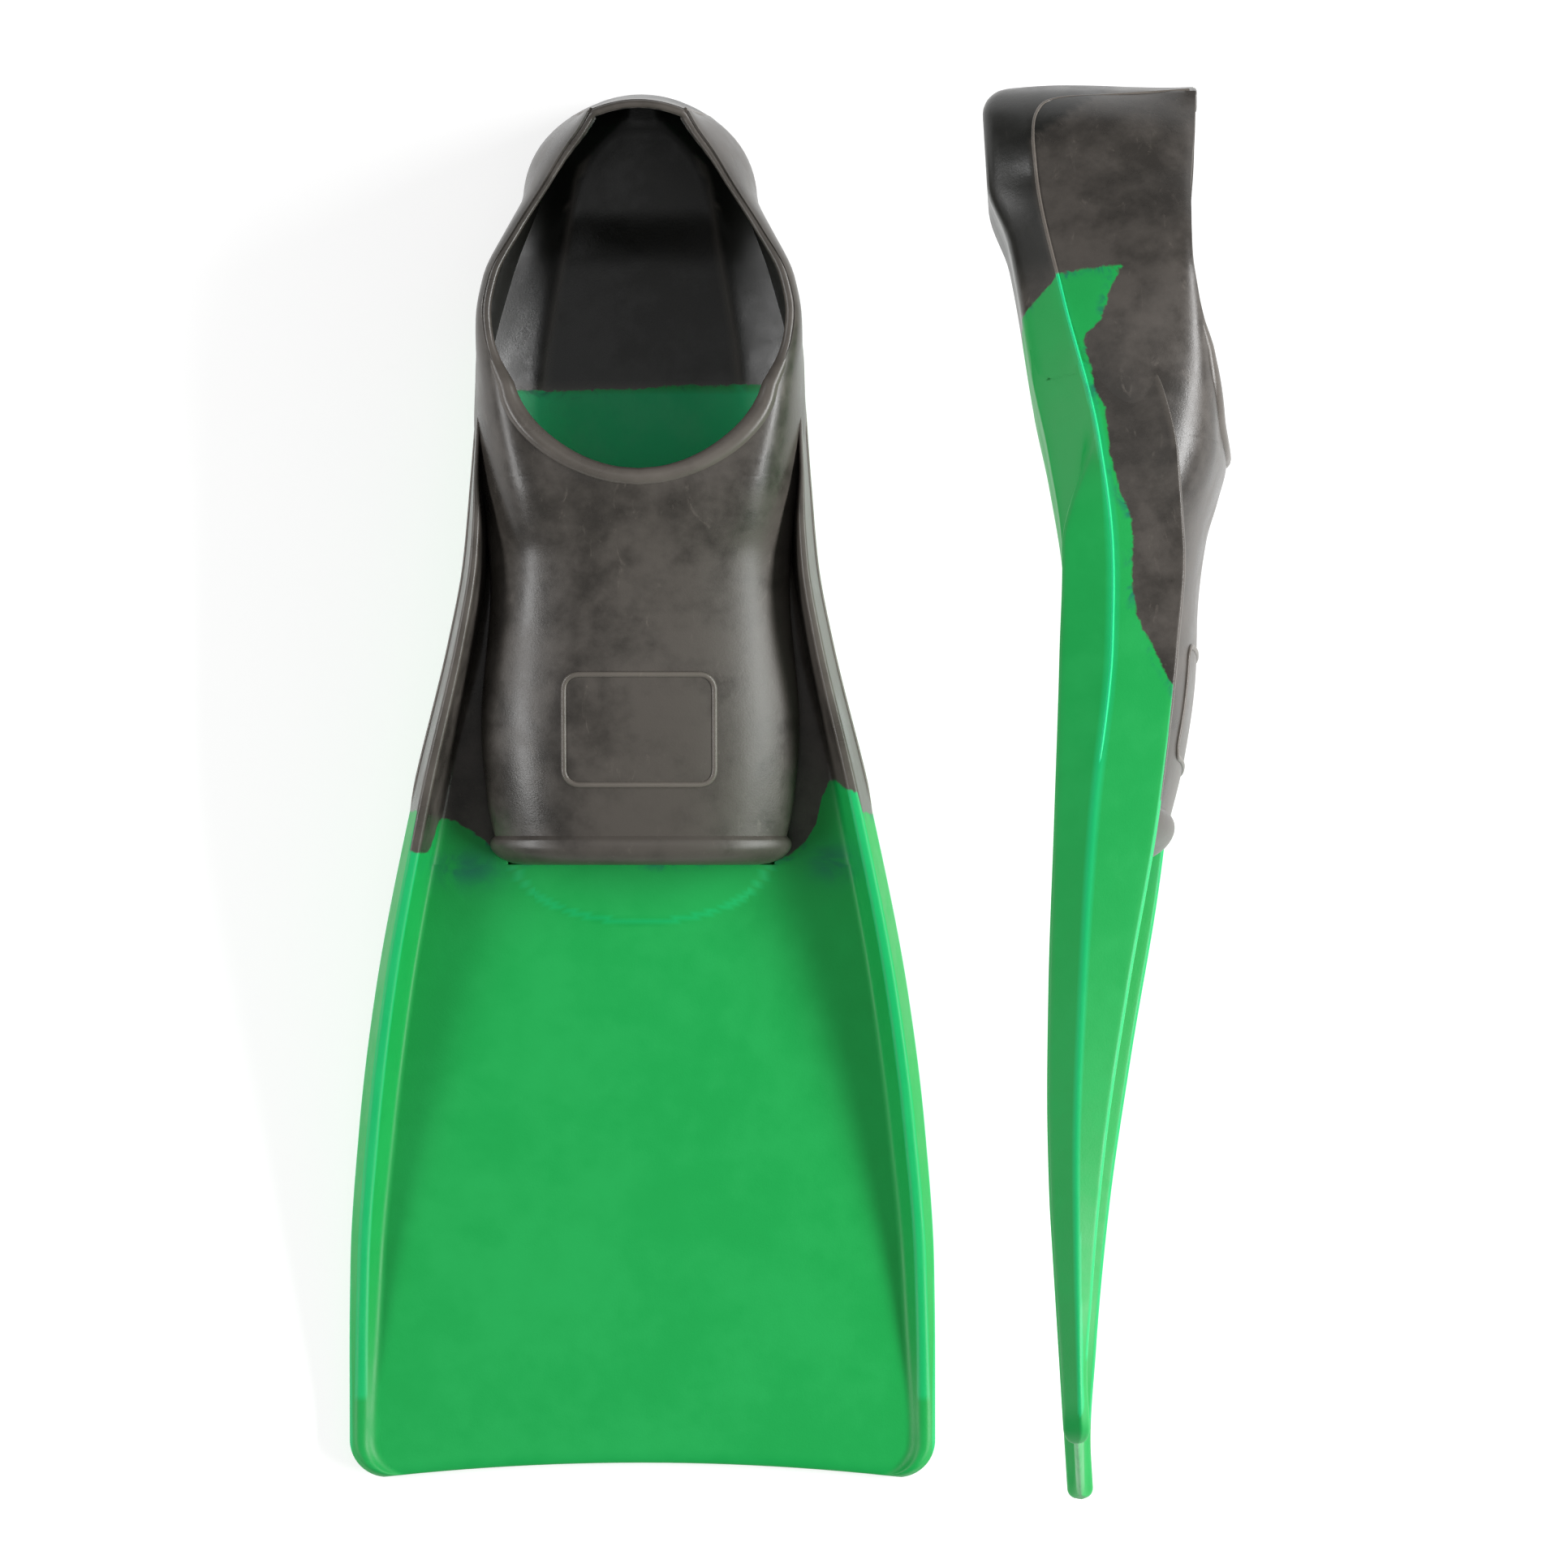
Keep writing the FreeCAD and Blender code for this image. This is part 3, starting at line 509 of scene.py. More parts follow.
def shell_path(station, inside):
    upper = upper_half(station, inside)
    middle = Vector((0, ridge_height(station)))
    if not inside:
        upper = [p + (p - middle).normalized() * toe_bulge(station) for p in upper]
    narrow = toe_corner(station)
    shrink, lower = 1 - narrow / TOE_HALF, 1 - TOE_LOWER * narrow / TOE_HIGH
    upper = [Vector((p.x * shrink, middle.y + (p.y - middle.y) * lower)) for p in upper]
    bottom = [Vector((p.x * shrink, p.y)) for p in bottom_half(station, inside)[:-1]]
    return bottom + upper


def shell_point(inside):
    """The shell's surface, inside millimetres within its outside, as a shape for grid_skin."""
    rows = [shell_path(s, inside) for s in SHELL_ROWS]

    def point(i, j):
        station, p = SHELL_ROWS[i], rows[i][j]
        back = inside * max(0.0, 1 - station / HEEL_ROUND)
        across = 0.0 if i == 0 else p.x
        return Vector((across, -(station + back + heel_lean(station, p.y)), p.y))

    return point


print("the toe bead stands out", BEAD_HIGH, "mm")


# %% Build the pocket's shell: the outside, the inside, and a strip between them at each opening
LAST_ROW, LAST_COLUMN = len(SHELL_ROWS) - 1, SOLE_COLUMNS + WALL_COLUMNS
skins = [shell_point(0.0), shell_point(WALL)]
shell = bmesh.new()
inner_note = shell.verts.layers.float.new("inner")
for number, skin in enumerate(skins):
    half = grid_skin(shell, LAST_ROW, LAST_COLUMN, skin)
    for v in {v for f in mirror_half(shell, half) for v in f.verts}:
        v[inner_note] = float(number)
mirror_half(shell, grid_skin(shell, 1, LAST_COLUMN, lambda i, j: skins[i](LAST_ROW, j)))
mirror_half(shell, grid_skin(shell, SHELL_ROWS.index(OPENING_FRONT), 1,
                             lambda i, j: skins[j](i, LAST_COLUMN)))
finish_mesh(shell)
print("the shell is closed:", all(len(e.link_faces) == 2 for e in shell.edges))

# %% [markdown]
# ## Where the green rubber begins
# The two rubbers are laid in the mould side by side and run into each other a little. Under the
# parting line the green starts in front of the heel. Above it the green is a low hem along the
# side, which climbs over the rail beside the toes. Inside the pocket it starts under the instep.
# Each vertex notes how many millimetres deep in the green it lies, less than nothing in the black;
# the material turns that into a slightly ragged edge.

# %% Depth inside the green rubber
HEM_START, HEM_END = foot(0.279), foot(0.93)
BLACK_ONLY = -40.0
INSIDE_START, INSIDE_TOP = 102, 42  # where the green starts on the footbed, and how high it goes
hem_height = along_foot((0.279, 21), (0.294, 17.5), (0.344, 11), (0.37, 4), (0.44, 4.3),
                        (0.462, 6), (0.527, 4), (0.569, 5), (0.603, 7.6), (0.68, 7), (0.733, 9),
                        (0.775, 13.6), (0.828, 21), (0.87, 30), (0.916, 60))
web_start = curve((-80, 262), (-74, 263), (-69, 251), (-60, 255), (-53, 260), (-47, 265),
                  (47, 266), (54, 262), (59, 256), (61.5, 250), (63, 242), (66, 238), (72, 241),
                  (80, 243))


def under_line(s, z):
    """Depth in the green below the parting line."""
    share = (ridge_height(s) - z) / max(ridge_height(s) - sole_height(s), 1)
    return s - HEM_START - 11 * min(max(share, 0), 1)


def side_green(s, z, side):
    """Depth in the green on the outside of the side wall and the rail. The left fin has no hem."""
    if z < ridge_height(s) - (1.5 if side == "left" and s < HEM_END else 0):
        return under_line(s, z)
    if side == "left":
        return s - HEM_END
    return min(s - HEM_START, ridge_height(s) + hem_height(s) - z)


def shell_notes(v, side):
    x, s, z = abs(v.co.x), -v.co.y, v.co.z
    if v[inner_note] > 0.5:
        on_edge = abs(x - footbed_half(s)) < 1.3 and z < sole_height(s) + 10 and s > 20
        # Painted highlight: the lines where the footbed meets the walls are painted lighter.
        edge_highlight = 0.55 * on_edge
        # Painted light: the green inside the pocket is painted lighter all over, where the pocket
        # lies in shade.
        rubbing_and_painted_light = edge_highlight + (1 - edge_highlight) * smooth(INSIDE_START - 1, INSIDE_START + 1, s)
        # Painted shade: the black inside the pocket, behind the green footbed, is painted nearly
        # black.
        stain_and_painted_shade = (1 - smooth(INSIDE_START - 4, INSIDE_START, s)) * (0.9 - edge_highlight)
        return min(s - INSIDE_START, sole_height(s) + INSIDE_TOP - z), rubbing_and_painted_light, stain_and_painted_shade
    # Painted highlight: a light band along the parting line.
    on_line = max(0.0, 1 - abs(z - ridge_height(s)) / 1.6)
    line_height = ridge_height(s) + 1.5 * (s < 24) * (24 - s)
    # Painted shade: the heel block below the parting line is painted nearly black.
    heel_shade = (1 - smooth(66, 82, s)) * smooth(-1, 1.5, line_height - z)
    below_arch = s < foot(0.45) or z < ridge_height(s)
    depth = side_green(s, z, side) if below_arch else BLACK_ONLY
    return depth, 0.25 * on_line, 0.85 * heel_shade


SHELF_HALF, SHELF_LONG, SHELF_BACK = 47, 25, 4
SMEARS = ((-60, 11, 268), (66, 8, 266))  # across, width and station of each teal smear


def shelf_reach(across, station):
    """1 on the edge of the half-moon shelf in front of the toe end, less inside it."""
    return math.hypot(across / SHELF_HALF, (station - POCKET + SHELF_BACK) / SHELF_LONG)


def blade_notes(v, side):
    x, s, z = v.co.x, -v.co.y, v.co.z
    crest = outline(s) - CREST_OUT * rail_wide(s)
    # Painted highlights: the outer edge along the parting line, the rails' crests and the rim of
    # the half-moon shelf are painted lighter.
    on_edge = abs(x) > outline(s) - 1.2 and abs(z - ridge_height(s)) < 1.2
    on_top = z > rail_top(s) - 0.8 and s < 452
    on_shelf = s > POCKET and v.normal.z > 0.3 and 0.93 < shelf_reach(x, s) < 0.99
    rubbing_and_painted_light = 0.45 * on_edge + 0.4 * on_top + 0.3 * on_shelf
    stain_and_painted_shade = 0.0
    if abs(x) > crest or v.normal.z < -0.2:
        depth = side_green(s, z, side)
    elif z > ridge_height(s) - 1.5:
        depth = s - web_start(x)
        smears = [((x - across) / wide, (s - middle) / 6) for across, wide, middle in SMEARS]
        stain_and_painted_shade = max(math.exp(-a * a - b * b) for a, b in smears)
    else:
        depth = under_line(s, z)
    return depth, rubbing_and_painted_light, stain_and_painted_shade


print("the hem is", round(hem_height(foot(0.6)), 1), "mm high beside the instep")

# %% [markdown]
# ## The rubbers' finish
# Moulded rubber is satin, not glossy: the mould's surface is fine grained and the black has a warm
# grey bloom. Handling rubs the rim of the opening lighter towards its front. Ridges, edges and the
# inside of the pocket are painted lighter as painted highlights and painted light, and the heel
# block and the inside of the heel are painted darker as painted shade. Three effects are used by
# both materials, so each is a node group: the cloudy bloom, the fine grain, and the ragged run
# where the two rubbers meet.


# %% Helpers for node trees
def new_group(name, inputs, outputs):
    tree = bpy.data.node_groups.new(name, "ShaderNodeTree")
    for kind, sockets in (("INPUT", inputs), ("OUTPUT", outputs)):
        for label, socket in sockets:
            tree.interface.new_socket(name=label, in_out=kind, socket_type=f"NodeSocket{socket}")
    return tree, tree.nodes.new("NodeGroupInput"), tree.nodes.new("NodeGroupOutput")


def add(tree, kind, links=None, **settings):
    """A node with its settings, each of its sockets linked or given a value."""
    node = tree.nodes.new(kind)
    for key, value in settings.items():
        setattr(node, key, value)
    for socket, source in (links or {}).items():
        if isinstance(source, bpy.types.NodeSocket):
            tree.links.new(source, node.inputs[socket])
        else:
            node.inputs[socket].default_value = source
    return node


def noise(tree, place, scale, detail, roughness=0.5, distortion=0.0):
    node = add(tree, "ShaderNodeTexNoise", {"Vector": place, "Scale": scale, "Detail": detail,
                                            "Roughness": roughness, "Distortion": distortion})
    return node.outputs["Fac"]


def remap(tree, value, low, high, to_low=0.0, to_high=1.0):
    node = add(tree, "ShaderNodeMapRange", {"Value": value, "From Min": low, "From Max": high,
                                            "To Min": to_low, "To Max": to_high},
               interpolation_type="SMOOTHSTEP")
    return node.outputs["Result"]


def maths(tree, operation, a, b):
    return add(tree, "ShaderNodeMath", {0: a, 1: b}, operation=operation).outputs[0]


def blend_colour(tree, share, a, b):
    return add(tree, "ShaderNodeMix", {0: share, 6: a, 7: b}, data_type="RGBA").outputs[2]


# %% Group one: the cloudy bloom and scuffs of handled rubber
bloom, bloom_in, bloom_out = new_group(
    "rubber_bloom", [("Place", "Vector")], [("Cloud", "Float"), ("Scuff", "Float")])
cloud = noise(bloom, bloom_in.outputs["Place"], 14.0, 4.0, 0.6, 0.4)
mottle = noise(bloom, bloom_in.outputs["Place"], 75.0, 5.0, 0.65)
mixed = maths(bloom, "ADD", maths(bloom, "MULTIPLY", cloud, 0.6),
              maths(bloom, "MULTIPLY", mottle, 0.4))
bloom.links.new(remap(bloom, mixed, 0.38, 0.62), bloom_out.inputs["Cloud"])
streaks = add(bloom, "ShaderNodeMapping", {"Vector": bloom_in.outputs["Place"],
                                           "Scale": (1.0, 0.35, 1.0), "Rotation": (0.0, 0.0, 0.5)})
scuffs = noise(bloom, streaks.outputs["Vector"], 160.0, 6.0, 0.75, 1.2)
bloom.links.new(remap(bloom, scuffs, 0.58, 0.74), bloom_out.inputs["Scuff"])
print("group", bloom.name)

# %% Group two: the fine grain of the mould
grain, grain_in, grain_out = new_group("mould_grain", [("Place", "Vector")], [("Height", "Float")])
fine = noise(grain, grain_in.outputs["Place"], 1400.0, 2.0)
dents = noise(grain, grain_in.outputs["Place"], 120.0, 3.0)
height = maths(grain, "ADD", maths(grain, "MULTIPLY", fine, 0.25),
               maths(grain, "MULTIPLY", dents, 0.75))
grain.links.new(height, grain_out.inputs["Height"])
print("group", grain.name)

# %% Group three: the ragged run between the two rubbers
run, run_in, run_out = new_group(
    "rubber_run", [("Place", "Vector"), ("Depth", "Float"), ("Stain", "Float")],
    [("Green", "Float"), ("Teal", "Float")])
wander = noise(run, run_in.outputs["Place"], 26.0, 1.0, 0.4)
ragged = noise(run, run_in.outputs["Place"], 210.0, 5.0, 0.7, 0.8)
shift = maths(run, "ADD", maths(run, "MULTIPLY", maths(run, "SUBTRACT", wander, 0.5), 7.0),
              maths(run, "MULTIPLY", maths(run, "SUBTRACT", ragged, 0.5), 3.5))
depth = maths(run, "ADD", run_in.outputs["Depth"], shift)
run.links.new(remap(run, depth, -0.4, 0.5), run_out.inputs["Green"])
smear = noise(run, run_in.outputs["Place"], 60.0, 4.0, 0.65, 1.5)
near = maths(run, "MULTIPLY", remap(run, depth, 0.0, 4.0, 1.0, 0.0), remap(run, smear, 0.5, 0.66))
spots = maths(run, "MULTIPLY", run_in.outputs["Stain"], remap(run, smear, 0.3, 0.6))
run.links.new(maths(run, "MAXIMUM", near, spots), run_out.inputs["Teal"])
print("group", run.name)

# %% [markdown]
# The groups only make masks and values. Each material then has its own shader, where the plain
# numbers such as the sheen of the surface sit on the shader itself.

# %% The two materials
GREEN = (0.0, 0.29, 0.054, 1.0)
GREEN_DEEP = (0.0, 0.27, 0.048, 1.0)
# A lighter green for painted highlights and for the painted light inside the pocket.
GREEN_PAINTED_LIGHT = (0.0, 0.62, 0.26, 1.0)
TEAL = (0.002, 0.11, 0.085, 1.0)
BLACK = (0.026, 0.023, 0.020, 1.0)
BLACK_BLOOM = (0.066, 0.058, 0.051, 1.0)
# A lighter black for scuffs, rubbing and painted highlights.
BLACK_SCUFF_AND_HIGHLIGHT = (0.17, 0.15, 0.13, 1.0)
# A near black for painted shade on the heel block and inside the pocket.
BLACK_PAINTED_SHADE = (0.003, 0.004, 0.003, 1.0)


def attribute(tree, name, socket="Fac"):
    return add(tree, "ShaderNodeAttribute", attribute_name=name).outputs[socket]


def rubber(name, two_colours):
    material = bpy.data.materials.new(name)
    material.use_nodes = True
    tree = material.node_tree
    shader = tree.nodes["Principled BSDF"]
    place = attribute(tree, "place", "Vector")
    stain_and_painted_shade, rubbing_and_light_mask = attribute(tree, "stain_and_painted_shade"), attribute(tree, "rubbing_and_painted_light")
    clouds = add(tree, "ShaderNodeGroup", node_tree=bloom)
    tree.links.new(place, clouds.inputs["Place"])
    dark = blend_colour(tree, clouds.outputs["Cloud"], BLACK, BLACK_BLOOM)
    # Scuffs, rubbing and painted highlights lighten the black.
    for mask, share in ((clouds.outputs["Scuff"], 0.3), (rubbing_and_light_mask, 0.5)):
        dark = blend_colour(tree, maths(tree, "MULTIPLY", mask, share), dark, BLACK_SCUFF_AND_HIGHLIGHT)
    # Painted shade: the black is darkened towards near black where that note is high.
    dark = blend_colour(tree, stain_and_painted_shade, dark, BLACK_PAINTED_SHADE)
    colour, rough = dark, remap(tree, clouds.outputs["Cloud"], 0.0, 1.0, 0.27, 0.38)
    if two_colours:
        edge = add(tree, "ShaderNodeGroup", node_tree=run)
        tree.links.new(place, edge.inputs["Place"])
        tree.links.new(attribute(tree, "green_depth"), edge.inputs["Depth"])
        tree.links.new(stain_and_painted_shade, edge.inputs["Stain"])
        bright = blend_colour(tree, clouds.outputs["Cloud"], GREEN_DEEP, GREEN)
        # Painted highlights and painted light lighten the green; it turns teal where the black ran
        # in.
        for mask, share, over in ((rubbing_and_light_mask, 0.6, GREEN_PAINTED_LIGHT), (edge.outputs["Teal"], 0.8, TEAL)):
            bright = blend_colour(tree, maths(tree, "MULTIPLY", mask, share), bright, over)
        colour = blend_colour(tree, edge.outputs["Green"], dark, bright)
        rough = maths(tree, "ADD", rough, maths(tree, "MULTIPLY", edge.outputs["Green"], 0.2))
    tree.links.new(colour, shader.inputs["Base Color"])
    tree.links.new(rough, shader.inputs["Roughness"])
    surface = add(tree, "ShaderNodeGroup", node_tree=grain)
    tree.links.new(place, surface.inputs["Place"])
    bump = add(tree, "ShaderNodeBump", {"Strength": 0.3, "Distance": 0.0004,
                                        "Height": surface.outputs["Height"]})
    tree.links.new(bump.outputs["Normal"], shader.inputs["Normal"])
    shader.inputs["Specular IOR Level"].default_value = 0.38
    return material


moulded_rubber = rubber("green_and_black_rubber", True)
black_rubber = rubber("black_rubber", False)
print("materials:", [m.name for m in (moulded_rubber, black_rubber)])

# %% Lay the pocket's shell down
shell_surface = BVHTree.FromBMesh(shell)
lay_down(shell, "foot_pocket", shell_notes, moulded_rubber,
         ["heel_block", "heel_cup", "inner_side_wall", "outer_side_wall", "instep", "toe_bead",
          "footbed"],
         ["foot"])

# %% [markdown]
# ## Round beads that follow a path
# The edge of the foot opening is a round bead, thin at the heel and thick in front, where
# fingers pull it. The frame of the instep's patch and the parting line are thinner beads. A small
# circle is extruded along the path, ring by ring, and each ring is turned square to the path.


# %% A bead: a circle extruded along a path
def even_loop(path, count):
    return resample(path + [path[0]], count)[:-1]


def bead(path, radius, sides=12, closed=True, flat=1.0):
    """radius is a function of the point; flat below 1 makes the bead lower than it is wide."""
    bm = bmesh.new()
    count = len(path)
    first = bmesh.ops.create_circle(bm, segments=sides, radius=1.0)["verts"]
    profile = [Vector((v.co.x, v.co.y * flat)) for v in first]
    ring, rings = first, [first]
    for _ in range(count - 1):
        edges = [bm.edges.get((ring[k], ring[(k + 1) % sides])) for k in range(sides)]
        made = bmesh.ops.extrude_edge_only(bm, edges=edges)["geom"]
        new = {g for g in made if isinstance(g, bmesh.types.BMVert)}
        ring = [next(e.other_vert(v) for e in v.link_edges if e.other_vert(v) in new) for v in ring]
        rings.append(ring)
    side = Vector((1, 0, 0.01))
    for k, (ring, point) in enumerate(zip(rings, path)):
        ahead = path[(k + 1) % count] if closed or k + 1 < count else point
        behind = path[k - 1] if closed or k else point
        direction = (ahead - behind).normalized()
        if k == 0 and abs(direction.z) < 0.5:
            side = direction.cross(Vector((0, 0, 1)))
        side = (side - direction * side.dot(direction)).normalized()
        above = side.cross(direction)
        for v, p in zip(ring, profile):
            v.co = point + (side * p.x + above * p.y) * radius(point)
    ends = [[bm.edges.get((r[k], r[(k + 1) % sides])) for k in range(sides)]
            for r in (rings[0], rings[-1])]
    if closed:
        bmesh.ops.bridge_loops(bm, edges=ends[0] + ends[1])
    else:
        for end in ends:
            bmesh.ops.holes_fill(bm, edges=end, sides=0)
    finish_mesh(bm, 60)
    return bm


# %% The bead round the foot opening
def rim_path():
    """Middle of the wall's edge all round the opening, from the back and round by the front."""
    rows = range(SHELL_ROWS.index(OPENING_FRONT) + 1)
    right = [skins[0](i, LAST_COLUMN).lerp(skins[1](i, LAST_COLUMN), 0.5) for i in rows]
    left = [Vector((-p.x, p.y, p.z)) for p in reversed(right[1:-1])]
    return even_loop(right + left, 260)


def rim_radius(point):
    station = -point.y
    return (1.3 + 0.4 * smooth(20, 70, station) + 1.8 * smooth(84, 112, station)
            - 0.4 * smooth(120, 133, station))


def rim_notes(v, side):
    return BLACK_ONLY, 0.15 + 0.45 * smooth(60, 128, -v.co.y), 0


opening_bead = bead(rim_path(), rim_radius, sides=14)
lay_down(opening_bead, "rolled_edge", rim_notes, black_rubber, ["opening_bead"], ["foot"])


# %% The frame of the bare patch on the instep
def patch_path(wide, long, corner, middle):
    """A rounded rectangle dropped onto the shell from above."""
    flat = []
    for k, (sx, sy) in enumerate(((1, 1), (-1, 1), (-1, -1), (1, -1))):
        centre = Vector((sx * (wide / 2 - corner), sy * (long / 2 - corner)))
        for n in range(7):
            a = math.radians(90 * k + 15 * n)
            flat.append(centre + corner * Vector((math.cos(a), math.sin(a))))
    down = Vector((0, 0, -1))
    above = [Vector((p.x, p.y - middle, 150)) for p in even_loop(flat, 150)]
    return [shell_surface.ray_cast(p, down)[0] for p in above]


patch_frame = bead(patch_path(wide=52, long=38, corner=5, middle=foot(0.825)), lambda p: 1.0,
                   sides=8, flat=0.8)
# The frame is painted lighter all along, a painted highlight.
lay_down(patch_frame, "patch_border", lambda v, side: (BLACK_ONLY, 0.8, 0), black_rubber,
         ["patch_frame"], ["foot"])


# %% The parting line, where the mould's halves met
def line_path():
    """Down the heel from the rim's corner, then forwards along the widest line."""
    heel = [(2.6, 80), (3.6, 71.5), (6.9, 45), (8.8, 25), (14.4, 18.4), (25.4, ridge_height(25.4)),
            (33, ridge_height(33))]
    points = [Vector((heel_round(s), -(s + heel_lean(s, z)), z)) for s, z in heel]
    path = spline(points, 10)
    for s in spread(28, 262, 3):
        half = (outline(s) if s > HEEL_ROUND else heel_round(s)) - 1.3 * smooth(236, 260, s)
        path.append(Vector((half, -s, ridge_height(s))))
    return resample(path, 150)


# The parting line's bead is painted fully lighter, a painted highlight.
def line_notes(v, side):
    return side_green(-v.co.y, ridge_height(-v.co.y), side), 1.0, 0


for side_name, flip in (("inner", 1), ("outer", -1)):
    line = bead([Vector((flip * p.x, p.y, p.z)) for p in line_path()], lambda p: 0.6, sides=8,
                closed=False)
    lay_down(line, f"{side_name}_parting_line", line_notes, moulded_rubber, None, ["foot"])

# %% [markdown]
# ## The blade and its rails
# The blade is a thin sheet between two tall rails with a pointed outer side. Sheet and rails are
# one skin, so the rails grow smoothly out of the sheet. Beside the pocket the same skin wraps
# under the foot. The frame bends the blade at three lines; real rubber curves, so the skin is cut
# half way between those lines. A shallow half-moon shelf on the sheet carries the edge of the toe
# end.


# %% Half of the blade's cross-section
def tip_narrowing(station, radius=13.0):
    """The blade's end has rounded corners in plan."""
    over = max(0.0, station - (LENGTH - radius))
    return radius - math.sqrt(max(0.0, radius ** 2 - over ** 2))


def nose(station, length=4.5):
    """1 along the blade, falling to 0 round the blade's end."""
    over = max(0.0, station - (LENGTH - length)) / length
    return math.sqrt(max(0.0, 1 - over * over))


def fillet_path(corners, radii, counts):
    """A path through corners, each rounded, with a fixed number of points on every side."""
    path = [corners[0]]
    for k, count in enumerate(counts):
        a, b = corners[k], corners[k + 1]
        length = (b - a).length
        cuts = [min(radii[k], 0.45 * length), min(radii[k + 1], 0.45 * length)]
        if k:
            cuts[0] = min(cuts[0], 0.45 * (a - corners[k - 1]).length)
        if k + 2 < len(corners):
            cuts[1] = min(cuts[1], 0.45 * (corners[k + 2] - b).length)
        way = (b - a).normalized()
        start, end = a + way * cuts[0], b - way * cuts[1]
        path += [start.lerp(end, n / count) for n in range(1, count + 1)]
        if k + 2 < len(corners):
            past = b + (corners[k + 2] - b).normalized() * cuts[1]
            path += [end.lerp(b, t).lerp(b.lerp(past, t), t) for t in (0.25, 0.5, 0.75, 1.0)]
    return path


CORNER_RADII = (0, 0.5, 0.5, 2.6, 1.3, 1.3, 0.9, 1.2, 1.2, 2.2, 1.0, 0)
SPANS = (16, 12, 5, 12, 3, 12, 8, 3, 8, 4, 10)
SHEET_COLUMNS = 34  # the columns on the top of the sheet


def blade_path(station):
    """From the middle of the top, over the rail and back to the middle of the underside."""
    s = min(station, LENGTH)
    buried = 0.6 * (1 - smooth(100, 109, s))
    out, wide, mid = outline(s) - tip_narrowing(s) - buried, rail_wide(s), ridge_height(s)
    top, inner, sole = rail_top(s), out - rail_wide(s), sole_height(s) + buried
    own = smooth(foot(0.48), foot(0.64), s)
    lows = []
    for x in (out - CREST_OUT * wide, out - CREST_IN * wide):
        facet = mid + (mid - sole) * (x - out) / max(out - sole_half(s), 1.0)
        lows.append(facet + (rail_bottom(s) - facet) * own)
    if station < POCKET:
        edge = min(wall_foot(s) - 1.4, inner - 0.5)
        bed, flat = sole + 1.0, min(sole_half(s), out - 1.2)
        above = [Vector((0, bed)), Vector((min(flat, edge - 0.5), bed)), Vector((edge, mid)),
                 Vector((inner, mid))]
        under = sole + (mid - sole) / max(out - flat, 1.0) * max(0.0, inner - flat)
        below = [Vector((inner, min(under, mid - 0.8))), Vector((min(flat, inner - 1), sole)),
                 Vector((0, sole))]
    else:
        thin = mid - sheet(s)
        above = [Vector((0, mid)), Vector((0.5 * inner, mid)), Vector((inner - 4, mid)),
                 Vector((inner, mid))]
        below = [Vector((inner, thin)), Vector((inner - 3, thin)), Vector((0, thin))]
    rail = [Vector((out - CREST_IN * wide, top)), Vector((out - CREST_OUT * wide, top)),
            Vector((out, mid)), Vector((out - CREST_OUT * wide, lows[0])),
            Vector((out - CREST_IN * wide, lows[1]))]
    path = fillet_path(above + rail + below, CORNER_RADII, SPANS)
    centre = mid - (sheet(s) / 2 if station >= POCKET else 2.0)
    return [Vector((p.x, centre + (p.y - centre) * nose(s))) for p in path]


def tip_bow(station, across):
    """How far the blade's end curves in between its corners."""
    return 5.0 * smooth(425, LENGTH, station) * max(0.0, 1 - (across / 90) ** 2)


def toe_shelf(station, across):
    """Height of the half-moon shelf on the sheet in front of the toe end."""
    if station < POCKET:
        return 0.0
    return 1.3 * (1 - smooth(0.92, 1.0, shelf_reach(across, station)))


print("the blade is", round(2 * outline(LENGTH)), "mm wide at its end")


# %% One skin for each stretch of the blade
def blade_skin(stations):
    paths = [blade_path(s) for s in stations]
    columns = len(paths[0]) - 1

    def shape(i, j):
        p, s = paths[i][j], min(stations[i], LENGTH)
        lift = toe_shelf(s, p.x) if j < SHEET_COLUMNS else 0.0
        return Vector((p.x, -(s - tip_bow(s, p.x)), p.y + lift))

    bm = bmesh.new()
    mirror_half(bm, grid_skin(bm, len(stations) - 1, columns, shape))
    for loop in open_loops(bm.faces):
        bmesh.ops.triangle_fill(bm, edges=loop, normal=(0, 1, 0), use_beauty=True)
    finish_mesh(bm)
    return bm


ROUND_END = [475.5, 476.5, 477.4, 478.2, 478.9, 479.4, 479.75, 479.93, LENGTH]
BLADE_PARTS = [
    ("blade_beside_foot", spread(98, POCKET, 2.4) + [POCKET - 0.02] + spread(POCKET, 294, 1.2)
     + spread(294, 324, 2.4) + [324.0], (268, 318), ("foot", "blade_1"),
     ["blade_root", "inner_rail_root", "outer_rail_root", "blade_span_1", "inner_rail_1",
      "outer_rail_1"]),
    ("blade_middle", spread(324, 387, 2.5) + [387.0], (331, 380), ("blade_1", "blade_2"),
     ["blade_span_2", "inner_rail_2", "outer_rail_2"]),
    ("blade_tip", spread(387, 466, 2.5) + spread(466, 475.5, 1.0) + ROUND_END, (394, 443),
     ("blade_2", "blade_3"), ["blade_span_3", "inner_rail_3", "outer_rail_3"]),
]
for name, stations, bend, bodies, replaced in BLADE_PARTS:
    lay_down(blade_skin(stations), name, blade_notes, moulded_rubber, replaced, bodies,
             bend=bend)

# %% [markdown]
# ## The floor, the lights and the camera
# The fins lie on a pale floor under soft lamps: one wide lamp above and a long low strip on each
# side, which draws the soft bright band along the instep. The fin on its side stands between the
# right strip and the flat fin, so that strip takes shadows only from the flat fin and the floor.
# The camera looks almost straight down from far above, as for a catalogue.


# %% Floor
def put(name, data):
    thing = bpy.data.objects.new(name, data)
    bpy.context.scene.collection.objects.link(thing)
    return thing


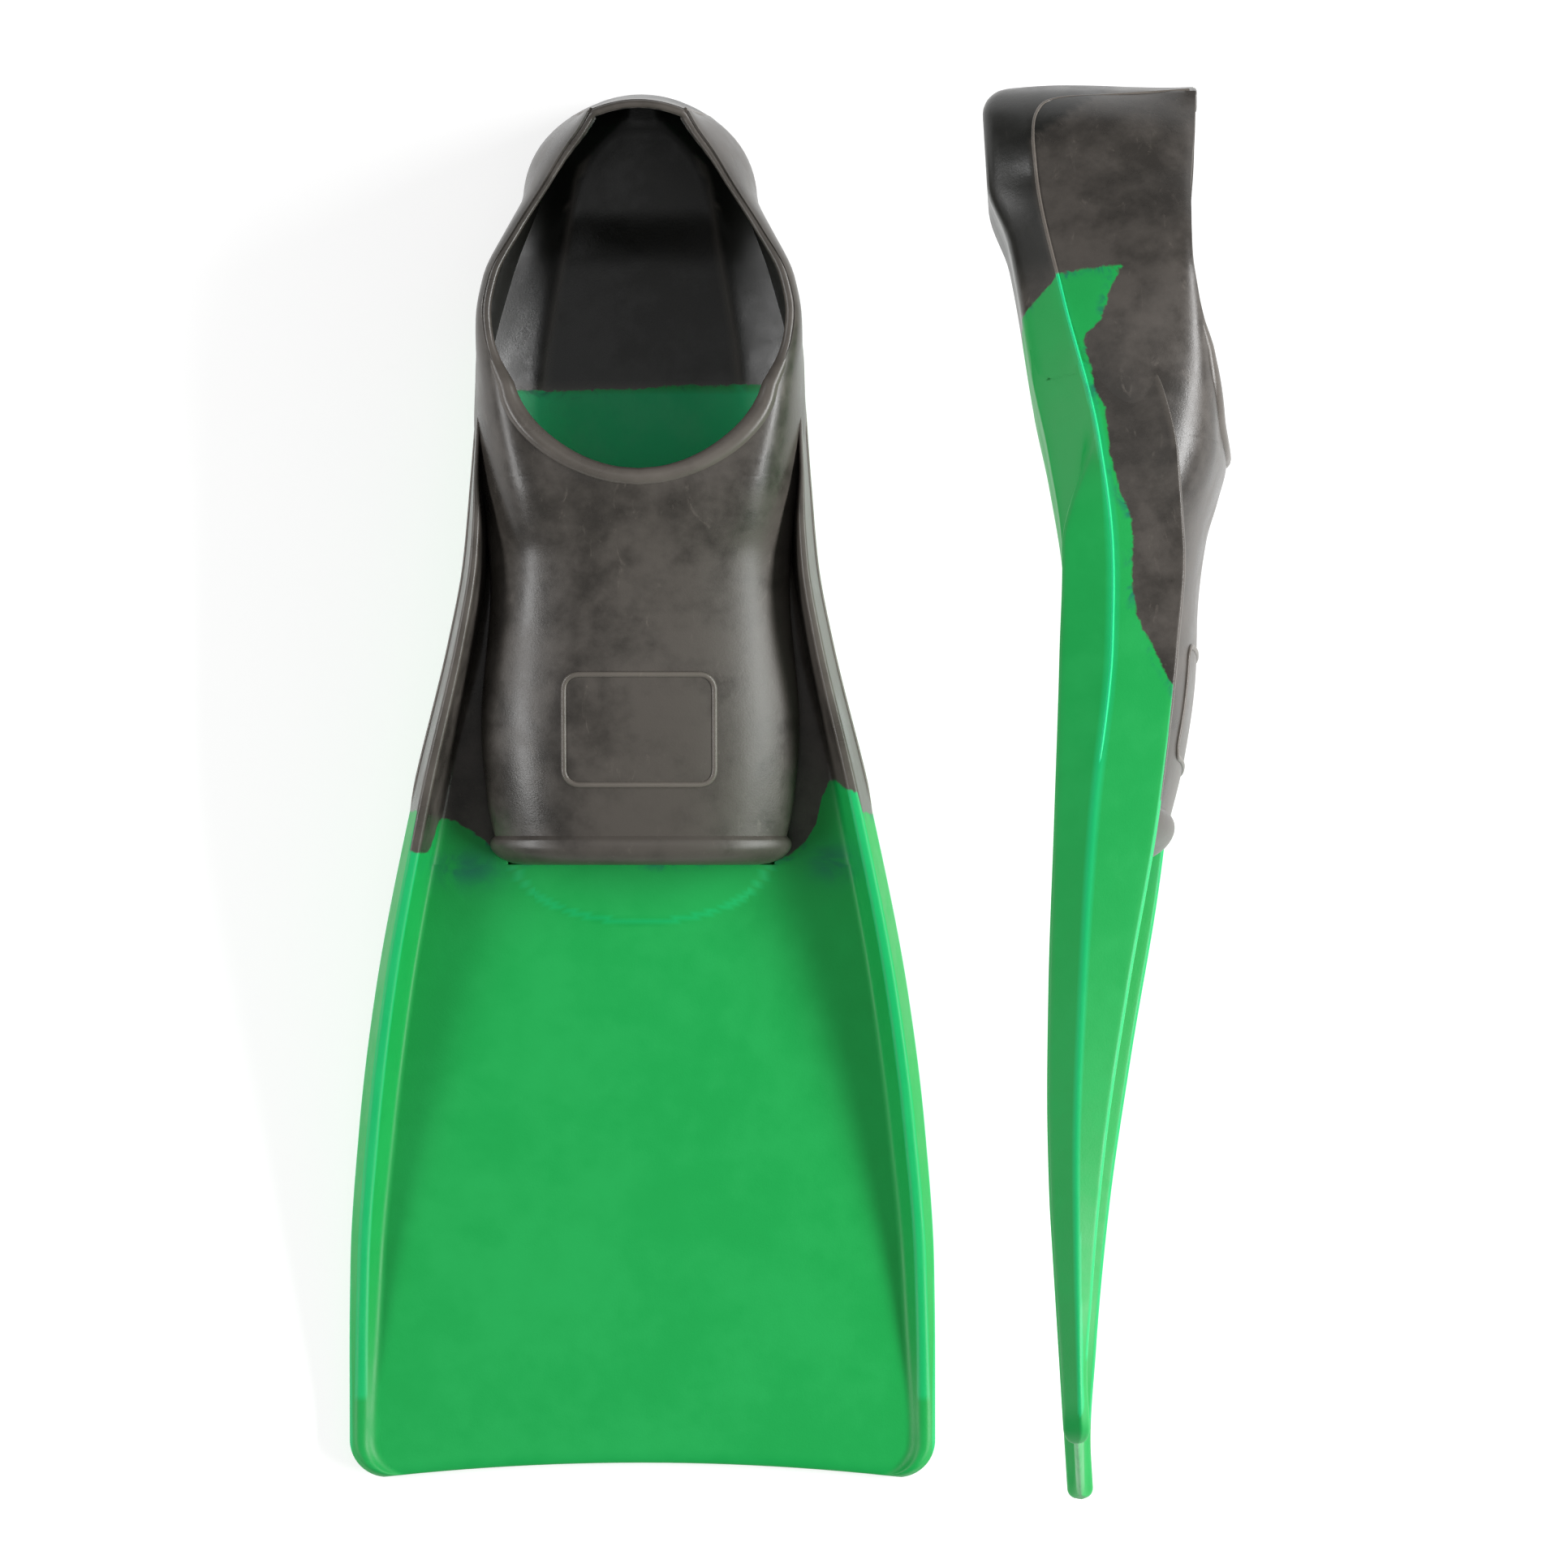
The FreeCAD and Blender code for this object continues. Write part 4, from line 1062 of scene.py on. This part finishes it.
floor_mesh = bmesh.new()
bmesh.ops.create_grid(floor_mesh, x_segments=1, y_segments=1, size=6.0)
floor_data = bpy.data.meshes.new("floor")
floor_mesh.to_mesh(floor_data)
floor_mesh.free()
floor = put("floor", floor_data)
paper = bpy.data.materials.new("pale_floor")
paper.use_nodes = True
paper_shader = paper.node_tree.nodes["Principled BSDF"]
paper_shader.inputs["Base Color"].default_value = (0.5, 0.5, 0.5, 1)
paper_shader.inputs["Roughness"].default_value = 0.9
paper_shader.inputs["Emission Color"].default_value = (1, 1, 1, 1)
paper_shader.inputs["Emission Strength"].default_value = 0.56
floor_data.materials.append(paper)
print("the floor is", floor_data.name)


# %% Lights
def lamp(name, place, target, size, power):
    data = bpy.data.lights.new(name, "AREA")
    data.shape, data.size, data.size_y, data.energy = "RECTANGLE", size[0], size[1], power
    thing = put(name, data)
    thing.location = place
    thing.rotation_euler = (Vector(target) - Vector(place)).to_track_quat("-Z", "Y").to_euler()
    print(name, "shines with", power, "W")
    return thing


lamp("left_strip", (-1.25, 0.0, 0.75), (0, 0, 0.05), (1.6, 0.3), 18)
right_strip = lamp("right_strip", (1.25, 0.0, 0.75), (0, 0, 0.05), (1.6, 0.3), 40)
lamp("top_softbox", (0.0, 0.5, 2.4), (0, 0, 0), (1.6, 1.4), 4)
shades = bpy.data.collections.new("shades_the_right_strip")
for thing in [floor] + [o for o in bpy.data.objects if o.name.startswith("left_fin")]:
    shades.objects.link(thing)
right_strip.light_linking.blocker_collection = shades
world = bpy.data.worlds.new("studio")
world.use_nodes = True
world.node_tree.nodes["Background"].inputs["Color"].default_value = (1, 1, 1, 1)
world.node_tree.nodes["Background"].inputs["Strength"].default_value = 0.25
bpy.context.scene.world = world
bpy.context.scene.view_settings.view_transform = "Standard"

# %% Camera
HEIGHT_ABOVE, TURN = 6.0, 0.0145
camera = bpy.data.cameras.new("camera")
camera.sensor_width, camera.lens, camera.clip_end = 36.0, 396.0, 50.0
viewer = put("camera", camera)
viewer.location, viewer.rotation_euler = (0.0845, 0.0014, HEIGHT_ABOVE), (0.0, TURN, 0.0)
bpy.context.scene.camera = viewer
print("the camera is", HEIGHT_ABOVE, "m above the floor")
